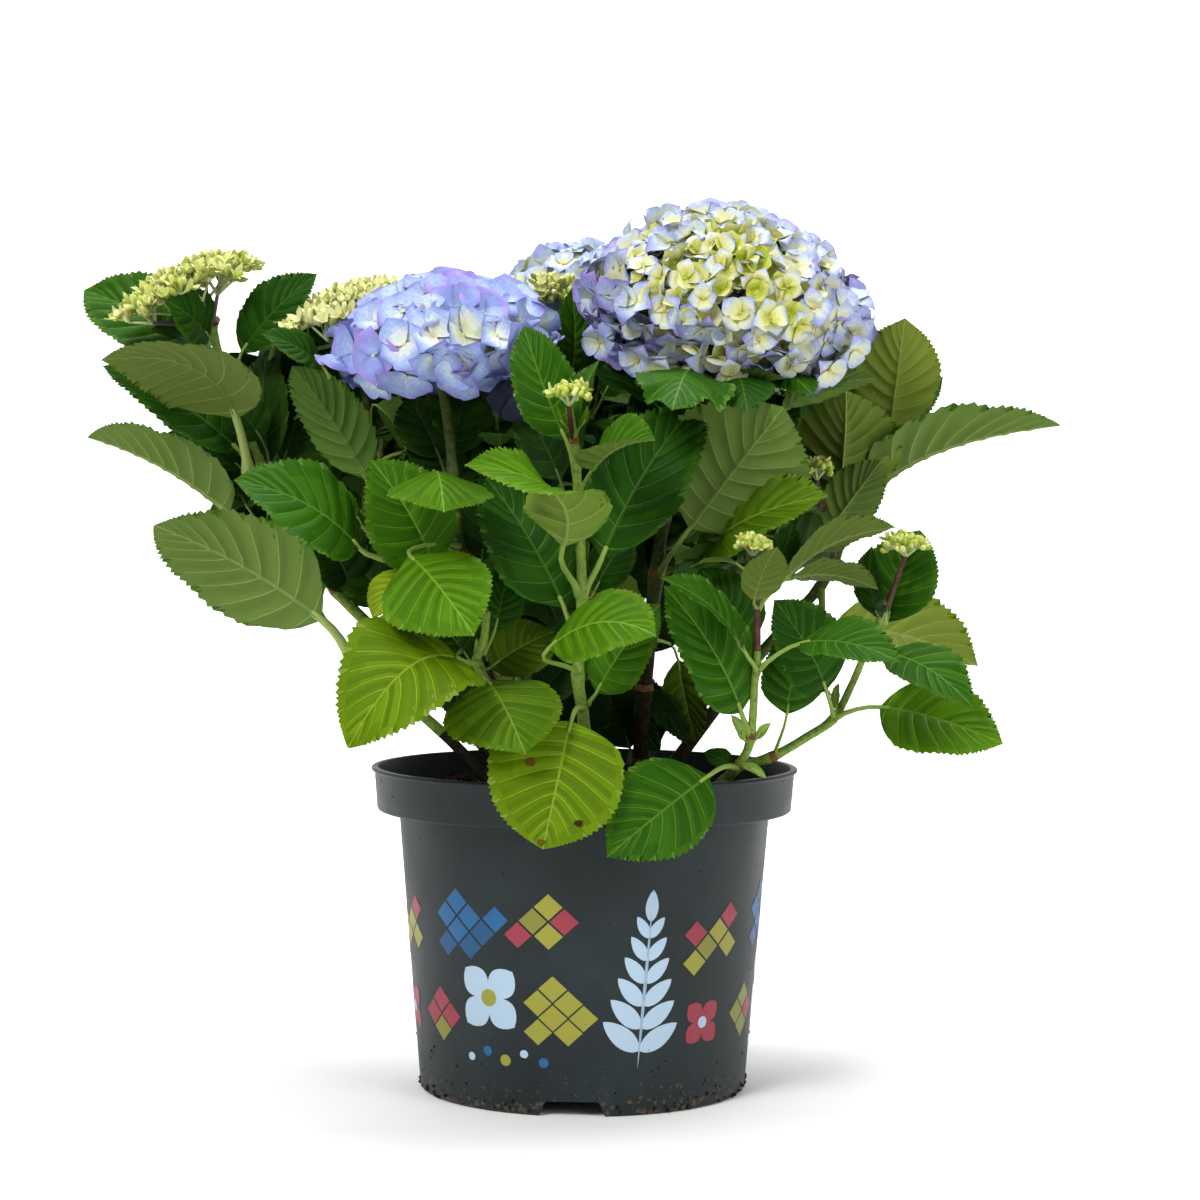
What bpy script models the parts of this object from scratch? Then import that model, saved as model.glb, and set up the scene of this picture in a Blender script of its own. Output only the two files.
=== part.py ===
"""Potted bigleaf hydrangea: a thin-walled nursery pot of compost, thirteen canes,
seven flower heads, and the foliage as leaf pads and leafy masses.
Metres, +Z up, -Y is the front. The origin is the centre of the pot's flat underside."""

import math

import bpy
import bmesh
from mathutils import Vector, noise
from mathutils.bvhtree import BVHTree

for old in list(bpy.data.objects):
    bpy.data.objects.remove(old, do_unlink=True)

MM = 0.001
GAP = 0.0004            # clearance between neighbouring pieces

# ---- pot -------------------------------------------------------------------
POT_SEGMENTS = 56
LIP_R = 0.1150          # outer edge of the lip
LIP_Z = 0.1731          # top of the lip
LIP_DEPTH = 0.0022
BAND_TOP_R = 0.1133     # outside of the rim band, just under the lip
BAND_LOW_R = 0.1117     # outside of the rim band, at its lower edge
BAND_LOW_Z = 0.1499
BODY_TOP_R = 0.1000     # body under the band
BASE_R = 0.0877         # body at the foot
WALL = 0.0020
FLOOR_Z = 0.0105        # inside face of the floor
FLOOR_THICK = 0.0025
FOOT_IN_R = 0.0790      # inside of the foot ring
BOSS_R = 0.0350         # flat centre disc that stands on the ground with the foot ring
NOTCH_COUNT = 3
NOTCH_TURN = math.radians(-93.5)
NOTCH_LOW_W = 0.0340
NOTCH_TOP_W = 0.0260
NOTCH_H = 0.0080

# ---- compost ----------------------------------------------------------------
SOIL_Z = 0.1600         # level part, where the canes come up
SOIL_EDGE_Z = 0.1575
SOIL_LEVEL_R = 0.0900
SOIL_SEGMENTS = 40

# ---- canes: points (x, y, z in mm) from the foot up, foot and top radius ----
CANE_SIDES = 8
CANE_STEP = 0.024
CANES = {
    "cane_front": ([(3, -42, 160), (-1, -62, 196), (-4, -80, 227), (-2, -92, 267), (-4, -103, 320), (-6, -106, 348)], 4.2, 2.2),
    "cane_right": ([(72, -54, 160), (79, -66, 180), (86, -80, 202), (88, -89, 230), (87, -94, 250), (86, -92, 268)], 3.4, 1.9),
    "cane_right_low": ([(77, -33, 160), (99, -40, 182), (117, -40, 192), (131, -40, 203), (141, -34, 220), (155, -22, 254), (162, -20, 268)], 3.3, 1.9),
    "cane_left": ([(-54, -19, 160), (-73, -22, 190), (-98, -28, 211), (-118, -32, 226)], 3.6, 3.0),
    "cane_far_left": ([(-42, 10, 160), (-79, 12, 211), (-110, 14, 241), (-136, 14, 266), (-156, 12, 294), (-176, 6, 334)], 4.4, 2.6),
    "cane_mid_left": ([(-28, 30, 160), (-64, 34, 239), (-97, 30, 294)], 4.4, 3.2),
    "cane_blue_head": ([(-23, -18, 160), (-42, -40, 226), (-56, -52, 264), (-66, -55, 295)], 4.6, 3.4),
    "cane_low_left": ([(-14, -43, 160), (-34, -62, 201), (-54, -80, 230)], 3.6, 2.4),
    "cane_great_head": ([(30, 4, 160), (32, -8, 220), (37, -16, 275), (44, -18, 317)], 5.2, 4.0),
    "cane_back_head": ([(14, 38, 160), (7, 66, 261), (0, 80, 330)], 4.8, 3.4),
    "cane_far_right": ([(46, 33, 160), (81, 46, 212), (111, 52, 247), (132, 55, 275), (142, 55, 300)], 4.6, 3.2),
    "cane_back_right": ([(31, 60, 160), (61, 104, 225), (84, 124, 280)], 4.6, 3.6),
    "cane_back_left": ([(-14, 62, 160), (-49, 104, 225), (-76, 128, 280)], 4.6, 3.6),
}

# ---- flower heads: centre, half sizes (mm), tilt towards +X and towards -Y (deg), flatness of the underside
HEADS = {
    "great_head": ((72, -6, 425), (81, 72, 56), -5, 4, 0.80),
    "blue_head": ((-77, -52, 398), (65, 57, 36), 3, 5, 0.85),
    "back_head": ((-8, 100, 431), (52, 46, 33), 6, -4, 0.70),
    "lime_head_left": ((-222, -8, 427), (37, 25, 11), 24, 6, 0.8),
    "lime_head_mid": ((-135, 26, 421), (37, 30, 12), 18, 4, 0.8),
    "rear_head": ((-92, 134, 407), (50, 46, 31), -4, -6, 0.70),
    "rear_lime_head": ((112, 122, 392), (30, 27, 11), 10, -10, 0.8),
}

# ---- leafy masses: centre, half sizes (mm) -----------------------------------
MASSES = {
    "mass_left_top": ((-182, 8, 358), (26, 36, 50)),
    "mass_left_mid": ((-110, 4, 332), (37, 46, 54)),
    "mass_centre": ((-28, -20, 334), (50, 50, 54)),
    "mass_front_low": ((-22, -62, 246), (42, 34, 36)),
    "mass_front_high": ((-32, -88, 318), (36, 30, 38)),
    "mass_under_great_head": ((72, -6, 346), (52, 50, 46)),
    "mass_right_front": ((94, -56, 282), (32, 30, 34)),
    "mass_right_back": ((142, 42, 342), (32, 42, 48)),
    "mass_back_left": ((-104, 98, 320), (56, 52, 54)),
    "mass_back_mid": ((-4, 124, 344), (52, 52, 58)),
    "mass_back_right": ((94, 114, 324), (56, 52, 56)),
    "mass_back_low": ((-44, 92, 246), (48, 42, 30)),
    "mass_back_outer": ((158, 108, 304), (38, 38, 42)),
    "mass_back_far_left": ((-172, 82, 310), (38, 38, 46)),
}

# ---- leaf pads: stalk's foot, base, tip (mm), width, thickness (mm), facing, arch
STALK_R = 0.0019
PADS = {
    "pad_left_tip": ((-196, 16, 392), (-206, 26, 402), (-274, 36, 432), 42, 8, (0.1, -0.75, 0.6), 0.10),
    "pad_left_upper": ((-181, -12, 340), (-196, -30, 366), (-256, -52, 386), 52, 12, (0.1, -0.3, 0.9), 0.08),
    "pad_left_blade": ((-152, 4, 278), (-196, 0, 310), (-264, -22, 348), 36, 9, (0.28, 0.25, 0.92), 0.08),
    "pad_left_broad": ((-124, -36, 233), (-138, -50, 253), (-221, -80, 302), 60, 9, (0.25, 0.88, 0.40), 0.08),
    "pad_left_front": ((-96, -70, 280), (-117, -88, 291), (-175, -118, 321), 44, 9, (0.32, -0.60, 0.72), 0.10),
    "pad_left_peak": ((-186, 3, 380), (-180, -1, 398), (-146, -8, 436), 30, 8, (-0.4, -0.88, 0.1), 0.06),
    "pad_low_left": ((-57, -84, 233), (-64, -103, 236), (-116, -148, 195), 58, 9, (-0.10, -0.72, 0.68), 0.10),
    "pad_low_mid": ((-52, -88, 228), (-49, -106, 223), (-28, -138, 191), 46, 8, (0.08, -0.80, 0.58), 0.10),
    "pad_over_rim": ((-3, -78, 210), (-6, -106, 206), (-20, -134, 144), 64, 8, (0.0, -0.95, 0.3), 0.05),
    "pad_over_rim_right": ((77, -74, 184), (64, -108, 180), (11, -130, 141), 46, 8, (0.05, -0.94, 0.34), 0.05),
    "pad_front_low": ((-4, -88, 232), (-14, -126, 243), (35, -152, 252), 44, 8, (0.05, -0.62, 0.78), 0.10),
    "pad_front_left": ((-68, -64, 290), (-78, -103, 278), (-55, -142, 251), 46, 9, (-0.15, -0.72, 0.68), 0.10),
    "pad_front_top": ((-6, -100, 290), (-14, -126, 303), (-57, -158, 327), 44, 9, (0.1, -0.2, 0.95), 0.10),
    "pad_front_drop": ((-68, -58, 310), (-79, -100, 328), (-72, -140, 311), 42, 9, (0.05, -0.45, 0.9), 0.12),
    "pad_front_right": ((-2, -108, 322), (6, -120, 333), (33, -150, 346), 36, 9, (-0.15, -0.5, 0.85), 0.08),
    "pad_front_upright": ((-6, -108, 336), (-10, -114, 352), (-31, -121, 402), 32, 8, (-0.25, -0.92, 0.15), 0.06),
    "pad_mid_right": ((84, -92, 236), (72, -104, 248), (36, -131, 276), 34, 9, (0.38, -0.52, 0.78), 0.06),
    "pad_right_long": ((146, 54, 304), (168, 40, 326), (258, 16, 359), 44, 9, (-0.10, 0.38, 0.90), 0.12),
    "pad_right_tall": ((156, 46, 352), (168, 42, 372), (174, 26, 418), 36, 9, (0.1, 0.92, 0.2), 0.08),
    "pad_right_low": ((134, 46, 266), (142, 42, 250), (221, 60, 225), 50, 9, (0.12, 0.72, 0.68), 0.08),
    "pad_right_end": ((136, -42, 204), (156, -54, 211), (216, -78, 195), 42, 8, (0.05, -0.82, 0.57), 0.08),
    "pad_right_mid": ((153, -32, 243), (160, -62, 240), (195, -95, 214), 34, 8, (0.2, -0.64, 0.75), 0.08),
    "pad_right_front": ((92, -92, 232), (110, -103, 245), (156, -135, 238), 34, 8, (0.0, -0.58, 0.81), 0.08),
    "pad_bud_leaf": ((163, -17, 264), (165, -8, 272), (183, 4, 300), 38, 9, (-0.35, -0.9, 0.2), 0.06),
}

# ---- colours, roughness ------------------------------------------------------
COLOURS = {
    "pot": ((0.043, 0.047, 0.054), 0.48),
    "compost": ((0.030, 0.020, 0.014), 0.95),
    "cane": ((0.20, 0.27, 0.08), 0.60),
    "foliage": ((0.075, 0.190, 0.025), 0.55),
    "blue_bloom": ((0.36, 0.42, 0.80), 0.65),
    "cream_bloom": ((0.72, 0.74, 0.48), 0.65),
    "lime_bloom": ((0.45, 0.52, 0.12), 0.65),
}


def material(name):
    mat = bpy.data.materials.get(name)
    if mat is None:
        mat = bpy.data.materials.new(name)
        mat.use_nodes = True
        shader = mat.node_tree.nodes["Principled BSDF"]
        colour, rough = COLOURS[name]
        shader.inputs["Base Color"].default_value = (*colour, 1.0)
        shader.inputs["Roughness"].default_value = rough
        shader.inputs["Metallic"].default_value = 0.0
    return mat


def finish(name, bm, mat, sharp=40.0):
    bmesh.ops.recalc_face_normals(bm, faces=bm.faces)
    mesh = bpy.data.meshes.new(name)
    bm.to_mesh(mesh)
    bm.free()
    mesh.shade_smooth()
    mesh.set_sharp_from_angle(angle=math.radians(sharp))
    mesh.materials.append(material(mat))
    obj = bpy.data.objects.new(name, mesh)
    bpy.context.scene.collection.objects.link(obj)
    return obj


def turned(name, profile, segments, mat, sharp=30.0):
    """A closed solid turned about Z. The profile starts and ends on the axis."""
    bm = bmesh.new()
    rings = []
    for r, z in profile:
        if r < 1e-9:
            rings.append([bm.verts.new((0.0, 0.0, z))])
        else:
            rings.append([
                bm.verts.new((r * math.cos(2 * math.pi * k / segments), r * math.sin(2 * math.pi * k / segments), z))
                for k in range(segments)
            ])
    for low, high in zip(rings, rings[1:]):
        for k in range(segments):
            a, b = low[k % len(low)], low[(k + 1) % len(low)]
            c, d = high[(k + 1) % len(high)], high[k % len(high)]
            corners = []
            for v in (a, b, c, d):
                if v not in corners:
                    corners.append(v)
            bm.faces.new(corners)
    return finish(name, bm, mat, sharp)


def body_r(z):
    """Outside of the pot's tapering body at a height."""
    return BASE_R + (BODY_TOP_R - BASE_R) * z / BAND_LOW_Z


def band_r(z):
    """Outside of the rim band at a height."""
    share = (z - BAND_LOW_Z) / (LIP_Z - LIP_DEPTH - BAND_LOW_Z)
    return BAND_LOW_R + (BAND_TOP_R - BAND_LOW_R) * share


def make_pot():
    lip_low = LIP_Z - LIP_DEPTH
    profile = [
        (0.0, 0.0),
        (BOSS_R, 0.0),
        (BOSS_R + 0.003, FLOOR_Z - FLOOR_THICK),
        (FOOT_IN_R - 0.001, FLOOR_Z - FLOOR_THICK),
        (FOOT_IN_R, 0.0),
        (BASE_R - 0.0012, 0.0),
        (body_r(0.0012), 0.0012),
        (body_r(BAND_LOW_Z), BAND_LOW_Z),
        (BAND_LOW_R - 0.0008, BAND_LOW_Z),
        (BAND_LOW_R, BAND_LOW_Z + 0.0008),
        (band_r(lip_low), lip_low),
        (LIP_R, lip_low + 0.0003),
        (LIP_R, LIP_Z - 0.0004),
        (LIP_R - 0.0006, LIP_Z),
        (band_r(LIP_Z) - WALL, LIP_Z),
        (band_r(BAND_LOW_Z + WALL) - WALL, BAND_LOW_Z + WALL),
        (body_r(BAND_LOW_Z) - WALL, BAND_LOW_Z + WALL),
        (body_r(FLOOR_Z) - WALL, FLOOR_Z),
        (0.0, FLOOR_Z),
    ]
    pot = turned("pot", profile, POT_SEGMENTS, "pot")
    for k in range(NOTCH_COUNT):
        turn = NOTCH_TURN + 2 * math.pi * k / NOTCH_COUNT
        along = Vector((math.cos(turn), math.sin(turn), 0.0))
        across = Vector((-math.sin(turn), math.cos(turn), 0.0))
        bm = bmesh.new()
        ends = []
        for r in (FOOT_IN_R - 0.004, BASE_R + 0.006):
            ends.append([
                bm.verts.new(along * r + across * w + Vector((0, 0, z)))
                for w, z in (
                    (-NOTCH_LOW_W / 2 - 0.0005, -0.001), (NOTCH_LOW_W / 2 + 0.0005, -0.001),
                    (NOTCH_TOP_W / 2, NOTCH_H - 0.0001), (-NOTCH_TOP_W / 2, NOTCH_H - 0.0001),
                )
            ])
        bm.faces.new(ends[0])
        bm.faces.new(ends[1])
        for i in range(4):
            j = (i + 1) % 4
            bm.faces.new((ends[0][i], ends[0][j], ends[1][j], ends[1][i]))
        cutter = finish(f"notch_cutter_{k}", bm, "pot")
        cutter.hide_render = True
        cutter.display_type = "WIRE"
        cut = pot.modifiers.new(f"notch_{k}", "BOOLEAN")
        cut.operation = "DIFFERENCE"
        cut.solver = "EXACT"
        cut.object = cutter
    return pot


def make_compost():
    fit = 0.0003
    low = FLOOR_Z + fit
    step = BAND_LOW_Z + WALL + fit
    wall_low = body_r(FLOOR_Z) - WALL - fit
    wall_top = body_r(BAND_LOW_Z) - WALL - fit
    profile = [
        (0.0, low),
        (wall_low, low),
        (wall_top, step),
        (band_r(step) - WALL - fit, step),
        (band_r(SOIL_EDGE_Z) - WALL - fit, SOIL_EDGE_Z),
        (SOIL_LEVEL_R, SOIL_Z),
        (0.0, SOIL_Z),
    ]
    return turned("compost", profile, SOIL_SEGMENTS, "compost", 50.0)


def smooth_path(points, step):
    """Points at about an even step along a Catmull-Rom curve through the given ones."""
    pts = [points[0] * 2 - points[1], *points, points[-1] * 2 - points[-2]]
    fine = []
    for i in range(1, len(pts) - 2):
        a, b, c, d = pts[i - 1:i + 3]
        for k in range(12):
            t = k / 12
            fine.append(0.5 * (2 * b + (c - a) * t + (2 * a - 5 * b + 4 * c - d) * t * t + (3 * b - a - 3 * c + d) * t ** 3))
    fine.append(points[-1])
    return fine


def cane(name, points, foot_r, top_r, blocked):
    """A tapering cane with a level foot, ended where it meets a mass or a head."""
    fine = smooth_path([Vector(p) * MM for p in points], CANE_STEP)
    fine[0].z += GAP
    total = sum((b - a).length for a, b in zip(fine, fine[1:]))
    kept, run = [(fine[0], 0.0)], 0.0
    for a, b in zip(fine, fine[1:]):
        run += (b - a).length
        if run > 0.02 and blocked(b, (foot_r + (top_r - foot_r) * run / total) * MM + 0.0012):
            break
        kept.append((b, run))
    count = max(3, round(kept[-1][1] / CANE_STEP) + 1)
    bm = bmesh.new()
    rings = []
    for k in range(count):
        at = kept[-1][1] * k / (count - 1)
        i = max(0, min(len(kept) - 2, next((j for j, (_, s) in enumerate(kept) if s >= at), len(kept) - 1) - 1))
        (p, s0), (q, s1) = kept[i], kept[i + 1]
        centre = p.lerp(q, (at - s0) / max(s1 - s0, 1e-9))
        axis = (q - p).normalized() if k else Vector((0, 0, 1))
        side = axis.cross(Vector((0.13, 1, 0.07))).normalized()
        other = axis.cross(side)
        share = at / total
        flare = 1.0 + 0.35 * math.exp(-at / 0.006)
        r = (foot_r + (top_r - foot_r) * share) * MM * flare
        rings.append([
            bm.verts.new(centre + side * (r * math.cos(2 * math.pi * n / CANE_SIDES)) + other * (r * math.sin(2 * math.pi * n / CANE_SIDES)))
            for n in range(CANE_SIDES)
        ])
    for low, high in zip(rings, rings[1:]):
        for n in range(CANE_SIDES):
            m = (n + 1) % CANE_SIDES
            bm.faces.new((low[n], low[m], high[m], high[n]))
    bm.faces.new(rings[0])
    bm.faces.new(rings[-1])
    return finish(name, bm, "cane")


def level(point, centre, half):
    """Below 1 inside the ellipsoid, above 1 outside it."""
    d = point - centre
    return math.sqrt((d.x / half.x) ** 2 + (d.y / half.y) ** 2 + (d.z / half.z) ** 2)


def slope(point, centre, half):
    d = point - centre
    return Vector((d.x / half.x ** 2, d.y / half.y ** 2, d.z / half.z ** 2)).normalized()


def split_plane(a, b, at_a=None):
    """(point, normal) of a plane between two ellipsoids, each (centre, half). At_a sets the level of a that it touches."""
    low, high = 0.0, 1.0
    for _ in range(40):
        t = (low + high) / 2
        p = a[0].lerp(b[0], t)
        if at_a is None:
            inside = level(p, *a) < level(p, *b)
        else:
            inside = level(p, *a) < at_a
        low, high = (t, high) if inside else (low, t)
    p = a[0].lerp(b[0], low)
    if at_a is None:
        normal = (slope(p, *a) - slope(p, *b)).normalized()
    else:
        normal = slope(p, *a)
    return p, normal


def uneven_ball(name, centre, half, planes, trees, lumps, seed, mat, tilt=(0.0, 0.0), flat=1.0, segments=13, rings=8):
    """A closed lumpy ellipsoid, flattened below by flat, kept behind planes and short of the trees' surfaces."""
    bm = bmesh.new()
    bmesh.ops.create_uvsphere(bm, u_segments=segments, v_segments=rings, radius=1.0)
    turn_x, turn_y = math.tan(math.radians(tilt[0])), math.tan(math.radians(tilt[1]))
    for v in bm.verts:
        way = v.co.normalized()
        swell = 1.0 + lumps * noise.noise(way * 2.1 + Vector((seed * 3.7, seed * 1.3, seed * 5.1)))
        squash = flat if way.z < 0 else 1.0
        local = Vector((way.x * half.x, way.y * half.y, way.z * half.z * squash)) * swell
        local.z += local.x * turn_x + local.y * turn_y
        reach = local.length
        line = local.normalized()
        for p, normal in planes:
            along = line.dot(normal)
            if along > 1e-6:
                reach = min(reach, ((p - centre).dot(normal) - GAP) / along)
        for tree in trees:
            hit = tree.ray_cast(centre, line, reach + 0.006)[0]
            if hit is not None:
                reach = min(reach, (hit - centre).length - 0.005)
        v.co = centre + line * max(reach, 0.004)
    return finish(name, bm, mat, 70.0)


def clear_start(route, masses):
    """How far along the route its last stretch inside a mass ends."""
    start, run = 0.0, 0.0
    for p, q in zip(route, route[1:]):
        for k in range(24):
            at = p.lerp(q, (k + 1) / 24)
            room = 1.30 if p is route[0] else 1.12
            if min(level(at, *ball) for ball in masses) < room:
                start = run + (q - p).length * (k + 1) / 24
        run += (q - p).length
    return start + 0.002


def pad(name, foot, base, tip, width, thick, facing, arch, masses):
    """A leaf's stalk and its thin arched blade, as one closed lens from the stalk's foot to the tip."""
    foot, base, tip = Vector(foot) * MM, Vector(base) * MM, Vector(tip) * MM
    stalk, length = (base - foot).length, (tip - base).length
    start = clear_start([foot, base, tip], masses)
    along = (tip - base).normalized()
    up = Vector(facing)
    up = (up - along * up.dot(along)).normalized()
    side = along.cross(up)
    half_w, half_t = width * MM / 2, thick * MM / 2
    spots = [start]
    if start < stalk - 0.004:
        spots.append((start + stalk) / 2)
    blade = max(start, stalk)
    spots += [blade + (stalk + length - blade) * share for share in (0.10, 0.28, 0.50, 0.72, 0.90, 1.0)]
    bm = bmesh.new()
    rings = []
    for i, at in enumerate(spots):
        if at <= stalk:
            centre = foot.lerp(base, at / stalk)
            w = h = STALK_R
        else:
            t = (at - stalk) / length
            centre = base + along * (length * t) + up * (arch * length * 2 * t * (1 - t))
            w = max(half_w * max(math.sin(math.pi * min(t, 1.0) ** 0.78), 0.0) ** 0.75, STALK_R)
            h = half_t if t > 0.2 else STALK_R + (half_t - STALK_R) * t / 0.2
            if i == 0:
                w, h = w * 0.6, h * 0.6
        if i == len(spots) - 1:
            rings.append([bm.verts.new(tip)])
            continue
        rings.append([
            bm.verts.new(centre + side * (w * math.cos(2 * math.pi * n / 8)) + up * (h * math.sin(2 * math.pi * n / 8)))
            for n in range(8)
        ])
    for low, high in zip(rings, rings[1:]):
        for n in range(8):
            m = (n + 1) % 8
            corners = []
            for v in (low[n], low[m], high[m % len(high)], high[n % len(high)]):
                if v not in corners:
                    corners.append(v)
            bm.faces.new(corners)
    bm.faces.new(rings[0])
    return finish(name, bm, "foliage", 70.0)


def tree_of(obj):
    return BVHTree.FromPolygons(
        [obj.matrix_world @ v.co for v in obj.data.vertices],
        [tuple(p.vertices) for p in obj.data.polygons],
    )


def build():
    make_pot()
    make_compost()
    heads = {n: (Vector(c) * MM, Vector(h) * MM) for n, (c, h, *_) in HEADS.items()}
    masses = {n: (Vector(c) * MM, Vector(h) * MM) for n, (c, h) in MASSES.items()}
    everything = []

    for i, (name, (_, _, tilt_x, tilt_y, flat)) in enumerate(HEADS.items()):
        centre, half = heads[name]
        planes = []
        for other, ball in heads.items():
            if other != name:
                p, normal = split_plane((centre, half), ball)
                planes.append((p, normal))
        mat = {"great_head": "cream_bloom"}.get(name, "lime_bloom" if "lime" in name else "blue_bloom")
        everything.append(uneven_ball(name, centre, half, planes, [], 0.07, 40 + i, mat, (tilt_x, tilt_y), flat))

    pads = []
    for name, sizes in PADS.items():
        pads.append(pad(name, *sizes, list(masses.values())))
    pad_trees = [tree_of(p) for p in pads]
    head_trees = [tree_of(h) for h in everything]

    made = []
    for i, (name, (centre, half)) in enumerate(masses.items()):
        planes = []
        for other, ball in masses.items():
            if other != name:
                planes.append(split_plane((centre, half), ball))
        for other, ball in heads.items():
            p, normal = split_plane(ball, (centre, half), 1.09)
            planes.append((p, -normal))
        made.append(uneven_ball(name, centre, half, planes, pad_trees + head_trees, 0.30, i + 1, "foliage"))

    trees = [tree_of(o) for o in everything + made]

    def blocked(point, room):
        for tree in trees:
            near = tree.find_nearest(point, room)
            if near[0] is not None:
                return True
        return False

    for name, (points, foot_r, top_r) in CANES.items():
        cane(name, points, foot_r, top_r, blocked)


build()
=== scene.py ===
import math

import bpy
import numpy as np
from mathutils import Matrix, Vector, noise


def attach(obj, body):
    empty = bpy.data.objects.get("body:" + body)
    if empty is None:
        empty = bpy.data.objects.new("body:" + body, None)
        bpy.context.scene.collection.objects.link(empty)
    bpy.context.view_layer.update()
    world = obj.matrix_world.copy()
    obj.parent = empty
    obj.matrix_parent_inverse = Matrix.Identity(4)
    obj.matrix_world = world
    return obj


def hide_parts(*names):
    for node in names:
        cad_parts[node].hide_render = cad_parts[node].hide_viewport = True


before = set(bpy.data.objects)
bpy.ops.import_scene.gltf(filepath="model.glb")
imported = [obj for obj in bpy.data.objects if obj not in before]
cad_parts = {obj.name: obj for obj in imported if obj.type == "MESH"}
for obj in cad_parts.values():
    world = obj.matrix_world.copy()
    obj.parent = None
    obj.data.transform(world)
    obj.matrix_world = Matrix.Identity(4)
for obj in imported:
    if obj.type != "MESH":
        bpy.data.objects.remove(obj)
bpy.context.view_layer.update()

RNG = np.random.default_rng(23)

# ================================================================ camera
# A pinhole camera in front of the pot. Lengths in metres, angles in radians, focal length in pixels of a 1200 px frame.
FOCAL, CAM_BACK, CAM_UP = 2876.2, 1.5533, 0.31242
PITCH, YAW, ROLL = 0.03196, 0.00498, 0.00685


def camera_axes():
    cp, sp, cy, sy = math.cos(PITCH), math.sin(PITCH), math.cos(YAW), math.sin(YAW)
    ahead = np.array([sy * cp, cy * cp, -sp])
    right = np.array([cy, -sy, 0.0])
    up = np.cross(right, ahead)
    cr, sr = math.cos(ROLL), math.sin(ROLL)
    return np.array([0.0, -CAM_BACK, CAM_UP]), ahead, cr * right + sr * up, -sr * right + cr * up


EYE, AHEAD, RIGHT, UP = camera_axes()


def at(px, py, depth):
    """The point seen at a pixel of the 1200 px frame, on the plane y = depth."""
    ray = AHEAD * FOCAL + RIGHT * (px - 600) + UP * (600 - py)
    return EYE + ray * ((depth - EYE[1]) / ray[1])


def seen(p):
    d = np.asarray(p, float) - EYE
    z = d @ AHEAD
    return np.stack([600 + FOCAL * (d @ RIGHT) / z, 600 - FOCAL * (d @ UP) / z], -1)


cam_data = bpy.data.cameras.new("camera")
cam_data.sensor_width = 36.0
cam_data.lens = FOCAL * 36.0 / 1200.0
cam_data.clip_start, cam_data.clip_end = 0.05, 50.0
cam = bpy.data.objects.new("camera", cam_data)
bpy.context.scene.collection.objects.link(cam)
turn = Matrix(((RIGHT[0], UP[0], -AHEAD[0]), (RIGHT[1], UP[1], -AHEAD[1]), (RIGHT[2], UP[2], -AHEAD[2])))
cam.matrix_world = Matrix.Translation(Vector(EYE)) @ turn.to_4x4()
bpy.context.scene.camera = cam


# ================================================================ materials
def linear(code):
    """An sRGB code such as 3f7a1e as linear numbers."""
    out = []
    for k in (0, 2, 4):
        c = int(code[k:k + 2], 16) / 255
        out.append(c / 12.92 if c <= 0.04045 else ((c + 0.055) / 1.055) ** 2.4)
    return (*out, 1.0)


def blend(a, b, share):
    """A code between two others."""
    return "".join(f"{round(int(a[k:k + 2], 16) * (1 - share) + int(b[k:k + 2], 16) * share):02x}" for k in (0, 2, 4))


MATS = {}


def new_material(name):
    mat = bpy.data.materials.new(name)
    mat.use_nodes = True
    MATS[name] = mat
    return mat, mat.node_tree, mat.node_tree.nodes["Principled BSDF"]


def link_noise(tree, scale, detail=3.0, rough=0.55, coords="Object"):
    tc = tree.nodes.new("ShaderNodeTexCoord")
    tex = tree.nodes.new("ShaderNodeTexNoise")
    tex.inputs["Scale"].default_value = scale
    tex.inputs["Detail"].default_value = detail
    tex.inputs["Roughness"].default_value = rough
    tree.links.new(tc.outputs[coords], tex.inputs["Vector"])
    return tex


def ranged(tree, value, low, high):
    out = tree.nodes.new("ShaderNodeMapRange")
    out.inputs["To Min"].default_value = low
    out.inputs["To Max"].default_value = high
    out.inputs["From Min"].default_value = 0.3
    out.inputs["From Max"].default_value = 0.7
    tree.links.new(value, out.inputs["Value"])
    return out.outputs["Result"]


def bumped(tree, shader, value, strength, distance):
    bump = tree.nodes.new("ShaderNodeBump")
    bump.inputs["Strength"].default_value = strength
    bump.inputs["Distance"].default_value = distance
    tree.links.new(value, bump.inputs["Height"])
    tree.links.new(bump.outputs["Normal"], shader.inputs["Normal"])


def soft_skin(name, code, rough=(0.42, 0.6), scale=260.0, bump=0.25, depth=0.0004, specular=0.4, glow=0.0, sheen=0.0):
    """A leaf or petal skin: one plain colour, with the skin's own fine relief and an uneven gloss."""
    mat, tree, shader = new_material(name)
    shader.inputs["Base Color"].default_value = linear(code)
    shader.inputs["Specular IOR Level"].default_value = specular
    if glow:
        shader.inputs["Subsurface Weight"].default_value = glow
        shader.inputs["Subsurface Radius"].default_value = (0.004, 0.004, 0.0025)
        shader.inputs["Subsurface Scale"].default_value = 1.0
    if sheen:
        shader.inputs["Sheen Weight"].default_value = sheen
    tex = link_noise(tree, scale)
    tree.links.new(ranged(tree, tex.outputs["Fac"], *rough), shader.inputs["Roughness"])
    bumped(tree, shader, tex.outputs["Fac"], bump, depth)
    return mat


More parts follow.
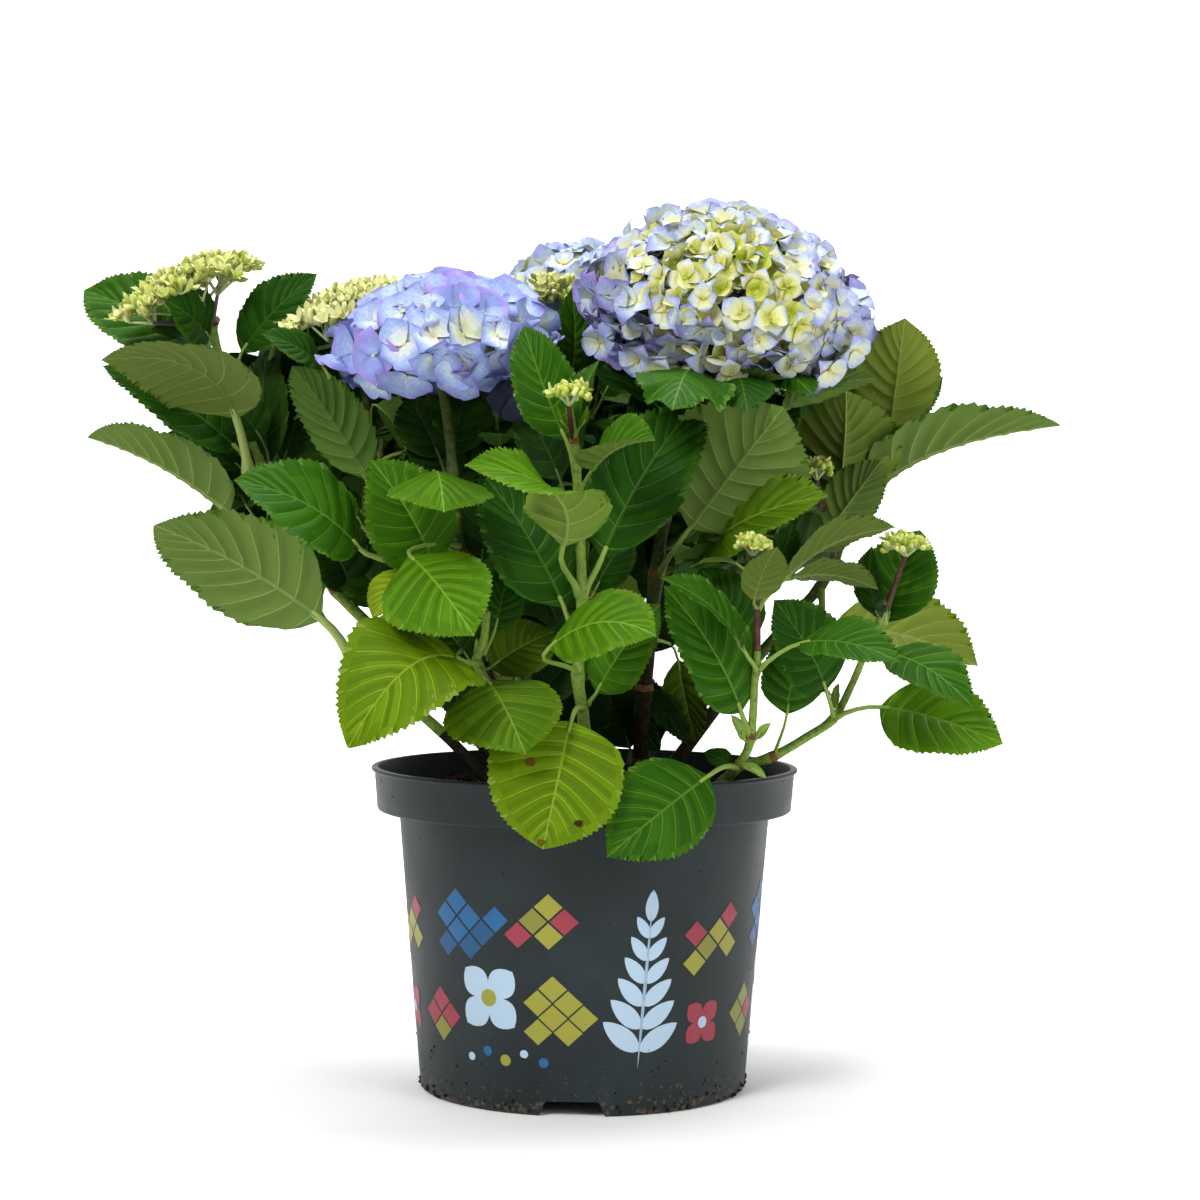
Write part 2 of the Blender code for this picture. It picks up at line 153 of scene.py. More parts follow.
def mottled(name, codes, scale, rough=(0.5, 0.8), bump=0.4, depth=0.001, specular=0.3, detail=5.0, fine=None):
    """A surface whose colour wanders between the given ones."""
    mat, tree, shader = new_material(name)
    tex = link_noise(tree, scale, detail, 0.6)
    ramp = tree.nodes.new("ShaderNodeValToRGB")
    ramp.color_ramp.elements[0].position = 0.32
    ramp.color_ramp.elements[1].position = 0.68
    ramp.color_ramp.elements[0].color = linear(codes[0])
    ramp.color_ramp.elements[1].color = linear(codes[-1])
    for k, code in enumerate(codes[1:-1]):
        e = ramp.color_ramp.elements.new(0.32 + 0.36 * (k + 1) / (len(codes) - 1))
        e.color = linear(code)
    tree.links.new(tex.outputs["Fac"], ramp.inputs["Fac"])
    tree.links.new(ramp.outputs["Color"], shader.inputs["Base Color"])
    shader.inputs["Specular IOR Level"].default_value = specular
    tree.links.new(ranged(tree, tex.outputs["Fac"], *rough), shader.inputs["Roughness"])
    relief = link_noise(tree, fine or scale * 2.5, 4.0)
    bumped(tree, shader, relief.outputs["Fac"], bump, depth)
    return mat


# Leaf tints: upper face, its lighter part by the midrib, upper vein, under face, under vein
TINTS = {
    # deep: near-black greens, painted shade for the leaves set inside the shrub
    "deep": ("112a05", "163405", "2c480a", "2c4a18", "466430"),
    "dark": ("1a4005", "234a08", "466812", "3c5e22", "628440"),
    "mid": ("265006", "305c08", "5c8420", "4e6c2a", "789654"),
    "rich": ("335e08", "3e6c0a", "6e9422", "5a702c", "849854"),
    "fresh": ("436c06", "4e7a0a", "7ea228", "667e30", "90a25a"),
    "lime": ("527004", "5e7e06", "8ea62c", "728430", "9aa85e"),
    "yellow": ("7c9414", "8aa01c", "aeba4c", "889636", "b0b86e"),
    "olive": ("3e560a", "4a620c", "708822", "60722c", "889454"),
    "olime": ("426208", "4e700c", "7c9626", "667a30", "96a45a"),
    "moss": ("334c06", "3e580a", "6a7c26", "546628", "7a8a4c"),
    "pale": ("688838", "789844", "9cb86c", "80965a", "a8bc80"),
    "sage": ("305810", "3a6416", "62862a", "5a7232", "8a9c5c"),
}
LEAF = {}
for tint, (upper, inner, vein, under, under_vein) in TINTS.items():
    edge = blend(upper, "7a8a10", 0.12)
    inner = blend(upper, inner, 0.75)
    vein, under_vein = blend(upper, vein, 0.68), blend(under, under_vein, 0.54)
    LEAF[tint] = (
        soft_skin(f"leaf_{tint}", upper, (0.48, 0.62), 330.0, 0.55, 0.0005, 0.06),
        soft_skin(f"leaf_{tint}_inner", inner, (0.48, 0.62), 330.0, 0.55, 0.0005, 0.06),
        soft_skin(f"leaf_{tint}_vein", vein, (0.42, 0.56), 500.0, 0.15, 0.0003, 0.22),
        soft_skin(f"leaf_{tint}_under", under, (0.66, 0.78), 420.0, 0.45, 0.0004, 0.08),
        soft_skin(f"leaf_{tint}_rib", under_vein, (0.55, 0.70), 500.0, 0.15, 0.0003, 0.15),
        soft_skin(f"leaf_{tint}_edge", edge, (0.48, 0.62), 330.0, 0.55, 0.0005, 0.06),
        # hollow: the upper colour a shade darker, painted shade for the puckered panels between the side veins
        soft_skin(f"leaf_{tint}_hollow", blend(upper, "000000", 0.085), (0.48, 0.62), 330.0, 0.55, 0.0005, 0.06),
    )

# petal colours from the throat to the tip
CREAM_STEPS = ("93a31c", "b0b944", "c4c769", "d0d090", "d3d3ab", "c5ccbe", "b0bbcd", "9ba6cd", "9193c9", "927cba")
BLUE_STEPS = ("d2d8ac", "dcdfc6", "cdd4d2", "b4c2d6", "9fb0d5", "8fa0d0", "8492cb", "8285c5", "8c7fc4", "9c7cc0")
PALE_STEPS = ("a4ae58", "bcc278", "c4c99c", "bac4c4", "a8b4cf", "98a4ce", "8b97c9", "8688c3", "8979ba", "9070b2")
SHADE_STEPS = ("323850", "272c44", "1f243a", "1b2036", "191e30", "1b1a32")
PETAL = {}
for name, steps in (("cream", CREAM_STEPS), ("blue", BLUE_STEPS), ("pale", PALE_STEPS), ("shade", SHADE_STEPS)):
    PETAL[name] = [soft_skin(f"petal_{name}_{k}", c, (0.55, 0.72), 600.0, 0.18, 0.0003, 0.22, glow=0.12) for k, c in enumerate(steps)]

M_PETIOLE = soft_skin("petiole", "7a9440", (0.45, 0.6), 500.0, 0.3, 0.0004, 0.2)
M_PETIOLE_PALE = soft_skin("petiole_pale", "93a45a", (0.45, 0.6), 500.0, 0.3, 0.0004, 0.2)
# a darker copy of the leaf stalk: painted shade for stalks of leaves inside the shrub
M_PETIOLE_SHADE = soft_skin("petiole_painted_shade", "465e28", (0.45, 0.6), 500.0, 0.3, 0.0004, 0.2)
M_STEM = mottled("stem_green", ("4d6420", "66822e", "7a9440", "66822e"), 330.0, (0.5, 0.65), 0.35, 0.0006, 0.2)
# a darker copy of the green stem: painted shade for stems inside and behind the shrub
M_STEM_SHADE = mottled("stem_painted_shade", ("2c3614", "3c4a1c", "4c5c26"), 300.0, (0.5, 0.7), 0.4, 0.0006, 0.15)
M_NODE = mottled("stem_joint", ("54301a", "6c4524", "7c6a34"), 380.0, (0.5, 0.65), 0.4, 0.0006, 0.2)
M_WOOD = mottled("stem_old", ("16140b", "262313", "383220"), 240.0, (0.6, 0.85), 0.7, 0.0010, 0.12)
M_RED = mottled("stem_red", ("2e1414", "46201e", "5c382c"), 300.0, (0.45, 0.65), 0.3, 0.0006, 0.35)
M_SPOT = soft_skin("leaf_spot", "5c4418", (0.6, 0.75), 500.0, 0.3, 0.0003, 0.08)
M_SPOT_DARK = soft_skin("leaf_spot_dark", "34200e", (0.6, 0.75), 500.0, 0.3, 0.0003, 0.08)
M_BUD = [soft_skin(f"bud_{k}", c, (0.5, 0.68), 700.0, 0.25, 0.0004, 0.3, glow=0.1) for k, c in enumerate(("92a438", "a9b64a", "bcc466", "cdd182", "dadb9e"))]
M_EYE = soft_skin("floret_eye", "b6ae55", (0.5, 0.65), 700.0, 0.2, 0.0004, 0.3)
M_EYE_BLUE = soft_skin("floret_eye_blue", "cfc98e", (0.5, 0.65), 700.0, 0.2, 0.0004, 0.3)
M_PEDICEL = soft_skin("pedicel", "a9b77c", (0.5, 0.65), 600.0, 0.2, 0.0004, 0.3)
M_PEDICEL_DARK = soft_skin("pedicel_violet", "6a5560", (0.5, 0.65), 600.0, 0.2, 0.0004, 0.3)


# ================================================================ mesh store
class Store:
    """Collects faces of one kind and turns them into pieces of under MOST triangles."""
    MOST = 185_000

    def __init__(self, name, slot):
        self.name, self.slot = name, slot
        self.parts, self.count, self.tris, self.made = [], 0, 0, []
        self.mats = []

    def mat(self, material):
        if material not in self.mats:
            self.mats.append(material)
        return self.mats.index(material)

    def add(self, verts, faces, mats):
        """faces is K x 4, with -1 last in a triangle."""
        faces = np.asarray(faces, np.int64)
        mats = np.broadcast_to(np.asarray(mats, np.int64), len(faces))
        self.parts.append((np.asarray(verts, np.float64), faces, mats))
        self.tris += int((faces[:, 3] >= 0).sum() + len(faces))
        if self.tris > self.MOST - 6000:
            self.flush()

    def flush(self):
        if not self.parts:
            return
        verts = np.concatenate([p[0] for p in self.parts])
        offs = np.cumsum([0] + [len(p[0]) for p in self.parts[:-1]])
        faces = np.concatenate([np.where(f >= 0, f + o, -1) for (_, f, _), o in zip(self.parts, offs)])
        mats = np.concatenate([p[2] for p in self.parts])
        sizes = np.where(faces[:, 3] >= 0, 4, 3)
        loops = faces[faces >= 0]
        mesh = bpy.data.meshes.new(f"{self.name}_{len(self.made) + 1}")
        mesh.vertices.add(len(verts))
        mesh.vertices.foreach_set("co", verts.astype(np.float32).ravel())
        mesh.loops.add(len(loops))
        mesh.loops.foreach_set("vertex_index", loops.astype(np.int32))
        mesh.polygons.add(len(faces))
        mesh.polygons.foreach_set("loop_start", np.concatenate([[0], np.cumsum(sizes)[:-1]]).astype(np.int32))
        mesh.polygons.foreach_set("material_index", mats.astype(np.int32))
        mesh.polygons.foreach_set("use_smooth", np.ones(len(faces), bool))
        used = sorted(set(mats.tolist()))
        again = np.zeros(len(self.mats), np.int32)
        for k, m in enumerate(used):
            again[m] = k
            mesh.materials.append(self.mats[m])
        mesh.polygons.foreach_set("material_index", again[mats].astype(np.int32))
        mesh.update(calc_edges=True)
        mesh.validate()
        obj = bpy.data.objects.new(mesh.name, mesh)
        bpy.context.scene.collection.objects.link(obj)
        self.made.append(obj)
        self.parts, self.tris = [], 0

    def done(self, nodes):
        self.flush()
        for obj in self.made:
            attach(obj, "root")
            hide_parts(*nodes)
        return self.made


def unit(v):
    v = np.asarray(v, float)
    return v / max(np.linalg.norm(v), 1e-12)


def catmull(points, per=10):
    p = np.asarray(points, float)
    p = np.vstack([2 * p[0] - p[1], p, 2 * p[-1] - p[-2]])
    out = []
    for i in range(1, len(p) - 2):
        a, b, c, d = p[i - 1:i + 3]
        for k in range(per):
            t = k / per
            out.append(0.5 * (2 * b + (c - a) * t + (2 * a - 5 * b + 4 * c - d) * t * t + (3 * b - a - 3 * c + d) * t ** 3))
    out.append(p[-2])
    return np.array(out)


def resample(path, step):
    seg = np.linalg.norm(np.diff(path, axis=0), axis=1)
    run = np.concatenate([[0], np.cumsum(seg)])
    n = max(2, int(round(run[-1] / step)) + 1)
    want = np.linspace(0, run[-1], n)
    return np.stack([np.interp(want, run, path[:, k]) for k in range(3)], 1), want


def frames(path):
    t = np.gradient(path, axis=0)
    t /= np.linalg.norm(t, axis=1)[:, None] + 1e-12
    side = unit(np.cross(t[0], [0.13, 1.0, 0.31]))
    sides = []
    for k in range(len(path)):
        side = unit(side - t[k] * (side @ t[k]))
        sides.append(side)
    sides = np.array(sides)
    return t, sides, np.cross(t, sides)


def tube(store, path, radii, sides, mats, cap=True, ribs=None):
    """A round limb. mats is one index, or one for each stretch between rings."""
    t, s, o = frames(path)
    ang = np.linspace(0, 2 * np.pi, sides, endpoint=False)
    radii = np.asarray(radii, float)
    r = radii[:, None] * (ribs if ribs is not None else np.ones((len(path), sides)))
    verts = path[:, None] + s[:, None] * (r * np.cos(ang))[..., None] + o[:, None] * (r * np.sin(ang))[..., None]
    n = len(path)
    verts = verts.reshape(-1, 3)
    k, j = np.meshgrid(np.arange(n - 1), np.arange(sides), indexing="ij")
    a, b = k * sides + j, k * sides + (j + 1) % sides
    faces = np.stack([a, b, b + sides, a + sides], -1).reshape(-1, 4)
    m = np.repeat(np.broadcast_to(np.asarray(mats), n - 1), sides)
    if cap:
        verts = np.vstack([verts, path[0] - t[0] * radii[0] * 0.3, path[-1] + t[-1] * radii[-1] * 0.6])
        c0, c1 = n * sides, n * sides + 1
        j = np.arange(sides)
        jj = (j + 1) % sides
        low = np.stack([jj, j, np.full(sides, c0), np.full(sides, -1)], -1)
        high = np.stack([(n - 1) * sides + j, (n - 1) * sides + jj, np.full(sides, c1), np.full(sides, -1)], -1)
        faces = np.vstack([faces, low, high])
        m = np.concatenate([m, np.full(sides, m[0]), np.full(sides, m[-1])])
    store.add(verts, faces, m)


# ================================================================ leaves
OUTLINE_AT = np.array([0, .03, .08, .15, .25, .36, .47, .58, .69, .79, .87, .93, .97, 1.0])
OUTLINE = np.array([.03, .22, .46, .71, .91, .99, 1.0, .94, .81, .63, .43, .24, .10, 0.0])


def leaf_pattern(veins, inner, cols):
    """Rows follow the side veins from the midrib to the margin, columns run beside the midrib."""
    half = 0.0042
    rows, c_of, frac, kind = [0.0], [0.0], [0.0], []
    last = 0.0
    for i, c in enumerate(0.05 + 0.83 * np.linspace(0, 1, veins) ** 0.94):
        n = inner if i else 1
        for k in range(n):
            f = (k + 1) / (n + 1)
            rows.append(last + (c - half - last) * f)
            c_of.append(rows[-1])
            frac.append(f)
            kind.append(0)
        rows += [c - half, c + half]
        c_of += [c, c]
        frac += [0.0, 0.0]
        kind += [0, 1]
        last = c + half
    for k in range(inner):
        f = (k + 1) / (inner + 1)
        rows.append(last + (1 - last) * f)
        c_of.append(rows[-1])
        frac.append(f * 0.999)
        kind.append(0)
    rows.append(1.0)
    c_of.append(1.0)
    frac.append(0.0)
    kind.append(0)
    s = np.array(rows)[:, None]
    c = np.array(c_of)[:, None]
    t = np.concatenate([[0.0], np.asarray(cols)])[None, :]   # first column is the centre line, second the midrib's edge
    tt = np.concatenate([[0.0, 0.0], np.asarray(cols)[1:]])[None, :]
    se = c + (s - c) * (1 - 0.72 * tt)
    m = se + 0.27 * np.sin(np.pi * se)
    g = tt ** 1.25
    x = se * (1 - g) + m * g
    width = np.interp(m, OUTLINE_AT, OUTLINE)
    tooth = np.zeros(len(rows))
    tooth[1::2] = 1.0
    return {
        "x": x, "m": m, "t": np.broadcast_to(tt, x.shape), "w": width, "f": np.array(frac)[:, None] * np.ones_like(x),
        "tooth": tooth[:, None] * (tt == 1.0), "kind": np.array(kind), "rows": len(rows), "cols": x.shape[1],
        "vein_edge": ((np.array(c_of) != np.array(rows)).astype(float))[:, None] * np.ones_like(x),
    }


OUTLINES = []
SKINS = []
FINE = leaf_pattern(9, 4, [0.0, .22, .45, .68, .88, 1.0])
COARSE = leaf_pattern(7, 3, [0.0, .36, .72, 1.0])


def leaf(store, base, tip, facing, ratio=0.65, arch=0.1, fold=10.0, tint="mid", via=None, facing_end=None, fine=True,
         wave=0.012, twist=0.0, puff=1.0, curl=0.0, seed=0, full=(1.0, 1.0)):
    """One toothed leaf blade, a thin skin above and one below. Returns the midrib's direction at its base."""
    base, tip = np.asarray(base, float), np.asarray(tip, float)
    rnd = np.random.default_rng(1000 + seed)
    pat = FINE if fine else COARSE
    length = np.linalg.norm(tip - base)
    run = unit(tip - base)
    n0 = unit(facing)
    n0 = unit(n0 - run * (n0 @ run))
    if via is None:
        via = (base + tip) / 2 + n0 * arch * length
    ctrl = 2 * np.asarray(via) - (base + tip) / 2
    q = np.linspace(0, 1, 41)[:, None]
    mid = base * (1 - q) ** 2 + ctrl * 2 * q * (1 - q) + tip * q ** 2
    tan = 2 * (ctrl - base) * (1 - q) + 2 * (tip - ctrl) * q
    tan /= np.linalg.norm(tan, axis=1)[:, None]
    span = np.linalg.norm(np.diff(mid, axis=0), axis=1).sum()
    n1 = n0 if facing_end is None else unit(facing_end)
    nor = n0 * (1 - q) + n1 * q
    nor -= tan * (nor * tan).sum(1)[:, None]
    nor /= np.linalg.norm(nor, axis=1)[:, None]
    side = np.cross(nor, tan)
    if twist:
        a = np.radians(twist) * (q - 0.3)
        nor, side = nor * np.cos(a) + side * np.sin(a), side * np.cos(a) - nor * np.sin(a)

    x, t, w, f, m = pat["x"], pat["t"], pat["w"], pat["f"], pat["m"]
    half_w = 0.5 * ratio * span
    mid_w = 0.0085 * span * (1 - 0.75 * x) + 0.0002
    fade = np.minimum(1.0, w * 2.2)
    xs = np.clip(x + pat["tooth"] * 0.013 * fade, 0, 1)
    verts_all, faces_all, mats_all, offset = [], [], [], 0
    panel = np.sin(np.pi * np.clip(f, 0, 1))
    across = np.sqrt(np.clip(4 * t * (1.04 - t), 0, 1)) * (t > 0)
    quilt = 0.0195 * puff * span * (panel ** 0.8 - 0.35) * across * np.minimum(1, w * 1.3)
    k_fine = pat["rows"]
    rr, cc = np.meshgrid(np.arange(k_fine - 1), np.arange(pat["cols"] - 1), indexing="ij")
    a = (rr * pat["cols"] + cc)
    quads = np.stack([a, a + pat["cols"], a + pat["cols"] + 1, a + 1], -1).reshape(-1, 4)
    kind = np.repeat(pat["kind"], pat["cols"] - 1)
    col = cc.reshape(-1)
    row_x = xs[:-1, 1].repeat(pat["cols"] - 1)
    mats = LEAF[tint]
    ids = [store.mat(mt) for mt in mats]
    for hand in (1.0, -1.0):
        phase = rnd.uniform(0, 6.28, 3)
        own = w ** full[hand < 0] * (1 + rnd.normal(0, 0.05) + 0.045 * np.sin(2 * np.pi * 1.2 * m + phase[2]))
        reach = np.maximum(own * half_w, mid_w * 1.02)
        y = np.where(np.arange(pat["cols"])[None, :] == 0, 0.0, mid_w + (reach - mid_w) * t) + pat["tooth"] * 0.017 * span * fade
        ripple = wave * span * (np.sin(2 * np.pi * 2.1 * m + phase[0]) + 0.6 * np.sin(2 * np.pi * 4.3 * m + phase[1])) * t ** 2.2 * np.minimum(1, w * 1.5)
        ang = np.radians(fold)
        bend = curl * half_w * (np.clip(y, 0, None) / half_w) ** 2
        for top in (True, False):
            z = quilt + ripple + bend
            if top:
                z = z - 0.010 * span * (1 - 0.6 * x) * (t == 0) * (np.arange(pat["cols"])[None, :] == 0) - 0.0025 * span * pat["vein_edge"] * (1 - t)
            else:
                body = 0.00032 * np.clip((1 - t) * 4, 0, 1)
                z = z - body - 0.0055 * span * pat["vein_edge"] * (1 - t) ** 0.8 - np.where(np.arange(pat["cols"])[None, :] == 0, 0.020 * span * (1 - 0.85 * x), 0.0)
            yy = y * math.cos(ang) - z * math.sin(ang) * 0.0
            zz = y * math.sin(ang) + z
            px = xs
            mx = np.stack([np.interp(px, q[:, 0], mid[:, i]) for i in range(3)], -1)
            sx = np.stack([np.interp(px, q[:, 0], side[:, i]) for i in range(3)], -1)
            nx = np.stack([np.interp(px, q[:, 0], nor[:, i]) for i in range(3)], -1)
            verts = mx + sx * (hand * yy)[..., None] + nx * zz[..., None]
            fc = quads if (hand > 0) == top else quads[:, ::-1]
            vein = (kind == 1) & (col < pat["cols"] - 2)
            if top:
                panel_of = np.cumsum(pat["kind"] == 1).repeat(pat["cols"] - 1)
                lean = rnd.random(panel_of.max() + 1)[panel_of]
                depth_of = np.abs(pat["f"][:-1, 0].repeat(pat["cols"] - 1) - 0.5)
                soft = np.where((lean > 0.45) & (col >= 1) & (col <= 3) | (lean > 0.85), ids[1], ids[0])
                # fine leaves darken most panel centres with the hollow skin: painted shade of the quilted relief
                if fine:
                    soft = np.where((depth_of < 0.24) & (rnd.random(panel_of.max() + 1)[panel_of] < 0.7) & (col >= 1) & (col < pat["cols"] - 2), ids[6], soft)
                soft = np.where((col >= pat["cols"] - 2) & (lean < 0.55), ids[5], soft)
                ids_f = np.where((col == 0) | vein, ids[2], soft)
            else:
                ids_f = np.where((col == 0) | vein, ids[4], ids[3])
            verts_all.append(verts.reshape(-1, 3))
            faces_all.append(fc + offset)
            mats_all.append(ids_f)
            offset += verts.shape[0] * verts.shape[1]
    store.add(np.vstack(verts_all), np.vstack(faces_all), np.concatenate(mats_all))
    if store.name == "leaves":
        SKINS.append(np.vstack([verts_all[0], verts_all[2]]))
        OUTLINES.append(np.vstack([verts_all[0].reshape(pat["rows"], -1, 3)[:, -1], verts_all[2].reshape(pat["rows"], -1, 3)[::-1, -1]]))
    return tan[0], span


def petiole(store, node, base, direction, radius, mat, sides=7):
    """The leaf's stalk, from its stem node to the foot of the blade."""
    node, base = np.asarray(node, float), np.asarray(base, float)
    gap = np.linalg.norm(base - node)
    if gap < 0.004:
        return
    t = np.linspace(0, 1, max(5, int(gap / 0.006)))[:, None]
    d0 = unit(unit(base - node) + np.array([0, 0, 0.25])) * gap
    d1 = np.asarray(direction) * gap
    h = (2 * t ** 3 - 3 * t ** 2 + 1) * node + (t ** 3 - 2 * t ** 2 + t) * d0 + (-2 * t ** 3 + 3 * t ** 2) * base + (t ** 3 - t ** 2) * d1
    h = np.vstack([h, base + unit(direction) * 0.006])
    q = np.linspace(0, 1, len(h))
    r = radius * (1.35 - 0.55 * q ** 0.5) * (1 + 0.35 * np.exp(-q / 0.08))
    tube(store, h, r, sides, mat)


# ================================================================ the plant
LEAVES = Store("leaves", "leaves")
INNER = Store("inner_leaves", "leaves")
STALKS = Store("leaf_stalks", "stems")
STEMS = Store("stems", "stems")

# canes: points by pixel and depth, foot and top radius in mm, share of the length that is old wood
CANES = {
    "front": ([(590, 772, -.045), (582, 708, -.070), (578, 674, -.080), (582, 597, -.092), (578, 492, -.103), (574, 440, -.112), (569, 408, -.124)], 4.2, 2.2, 0.0),
    "right": ([(726, 782, -.058), (736, 768, -.066), (750, 742, -.076), (755, 680, -.088), (757, 671, -.089), (757, 609, -.095), (753, 556, -.098)], 3.0, 1.6, 0.0),
    "right_low": ([(735, 770, -.035), (772, 757, -.040), (807, 737, -.040), (834, 718, -.040), (852, 684, -.034), (868, 646, -.024), (880, 618, -.020)], 3.3, 1.9, 0.0),
    "left": ([(480, 772, -.020), (447, 737, -.022), (400, 697, -.028), (354, 664, -.034)], 3.6, 3.0, 0.45),
    "far_left": ([(505, 772, .010), (440, 693, .012), (383, 638, .014), (337, 592, .014), (300, 540, .012), (262, 465, .006), (232, 392, .002), (214, 336, 0.0), (217, 318, -.001)], 4.4, 2.4, 0.25),
    "mid_left": ([(530, 772, .030), (470, 640, .034), (410, 540, .030), (372, 470, .022), (370, 426, .020), (352, 318, .024)], 4.4, 2.4, 0.3),
    "blue_head": ([(540, 772, -.020), (505, 672, -.040), (478, 600, -.052), (459, 540, -.055), (450, 441, -.055), (440, 372, -.052)], 4.6, 2.8, 0.3),
    "low_left": ([(560, 772, -.045), (520, 722, -.062), (479, 668, -.080), (484, 640, -.082), (487, 612, -.080)], 3.6, 2.2, 0.5),
    "great_head": ([(640, 772, .004), (645, 680, -.008), (656, 578, -.018), (668, 500, -.020), (695, 430, -.016), (722, 340, -.008)], 5.2, 3.2, 0.35),
    "back_head": ([(610, 772, .040), (598, 600, .066), (586, 450, .080), (580, 300, .092)], 4.8, 2.8, 0.4),
    "far_right": ([(668, 772, .034), (730, 690, .046), (785, 626, .052), (822, 584, .055), (838, 552, .055), (852, 480, .052), (862, 430, .050)], 4.6, 2.4, 0.3),
    "back_right": ([(640, 772, .060), (690, 660, .110), (740, 540, .135), (765, 440, .130), (782, 380, .124)], 4.6, 2.4, 0.4),
    "back_left": ([(560, 772, .062), (500, 650, .110), (450, 530, .140), (440, 440, .142), (438, 396, .139)], 4.6, 2.6, 0.4),
}
SOIL_Z = 0.160
cane_paths, cane_radii = {}, {}
for name, (points, foot_r, top_r, old) in CANES.items():
    pts = np.array([at(*p) for p in points])
    foot = pts[0].copy()
    step = pts[1] - pts[0]
    foot -= step * min(1.0, (foot[2] - (SOIL_Z - 0.006)) / max(step[2], 0.006))
    foot[2] = SOIL_Z - 0.006
    pts = np.vstack([foot, pts]) if foot[2] < pts[0][2] - 0.002 else pts
    path, run = resample(catmull(pts, 12), 0.0035)
    cane_paths[name] = path
    cane_radii[name] = (foot_r + (top_r - foot_r) * run / run[-1]) * 0.00088

leaf_nodes = []          # points on the canes where leaves join


def hero(name, node, base, tip, facing, ratio, arch=0.10, fold=10, tint="mid", via=None, facing_end=None, wave=0.010, twist=0.0,
         puff=1.0, curl=0.0, stalk="mid", fine=True, full=(1.0, 1.0)):
    """A leaf placed by pixel and depth: the node on the stem, the blade's foot and its tip."""
    n, b, t = at(*node), at(*base), at(*tip)
    v = None if via is None else at(*via)
    fine = fine and tint != "deep"
    direction, span = leaf(LEAVES, b, t, facing, ratio, arch, fold, tint, v, facing_end, fine, wave, twist, puff, curl, seed=sum(map(ord, name)) * 7 + len(name), full=full)
    thick = {"thin": 0.0010, "mid": 0.0014, "thick": 0.0021}[stalk]
    # deep-tinted leaves get the painted shade stalk
    mat = STALKS.mat(M_PETIOLE_PALE if stalk == "thick" else M_PETIOLE_SHADE if tint == "deep" else M_PETIOLE)
    petiole(STALKS, n, b, direction, thick * min(1.25, max(0.6, span / 0.075)), mat)
    leaf_nodes.append(n)


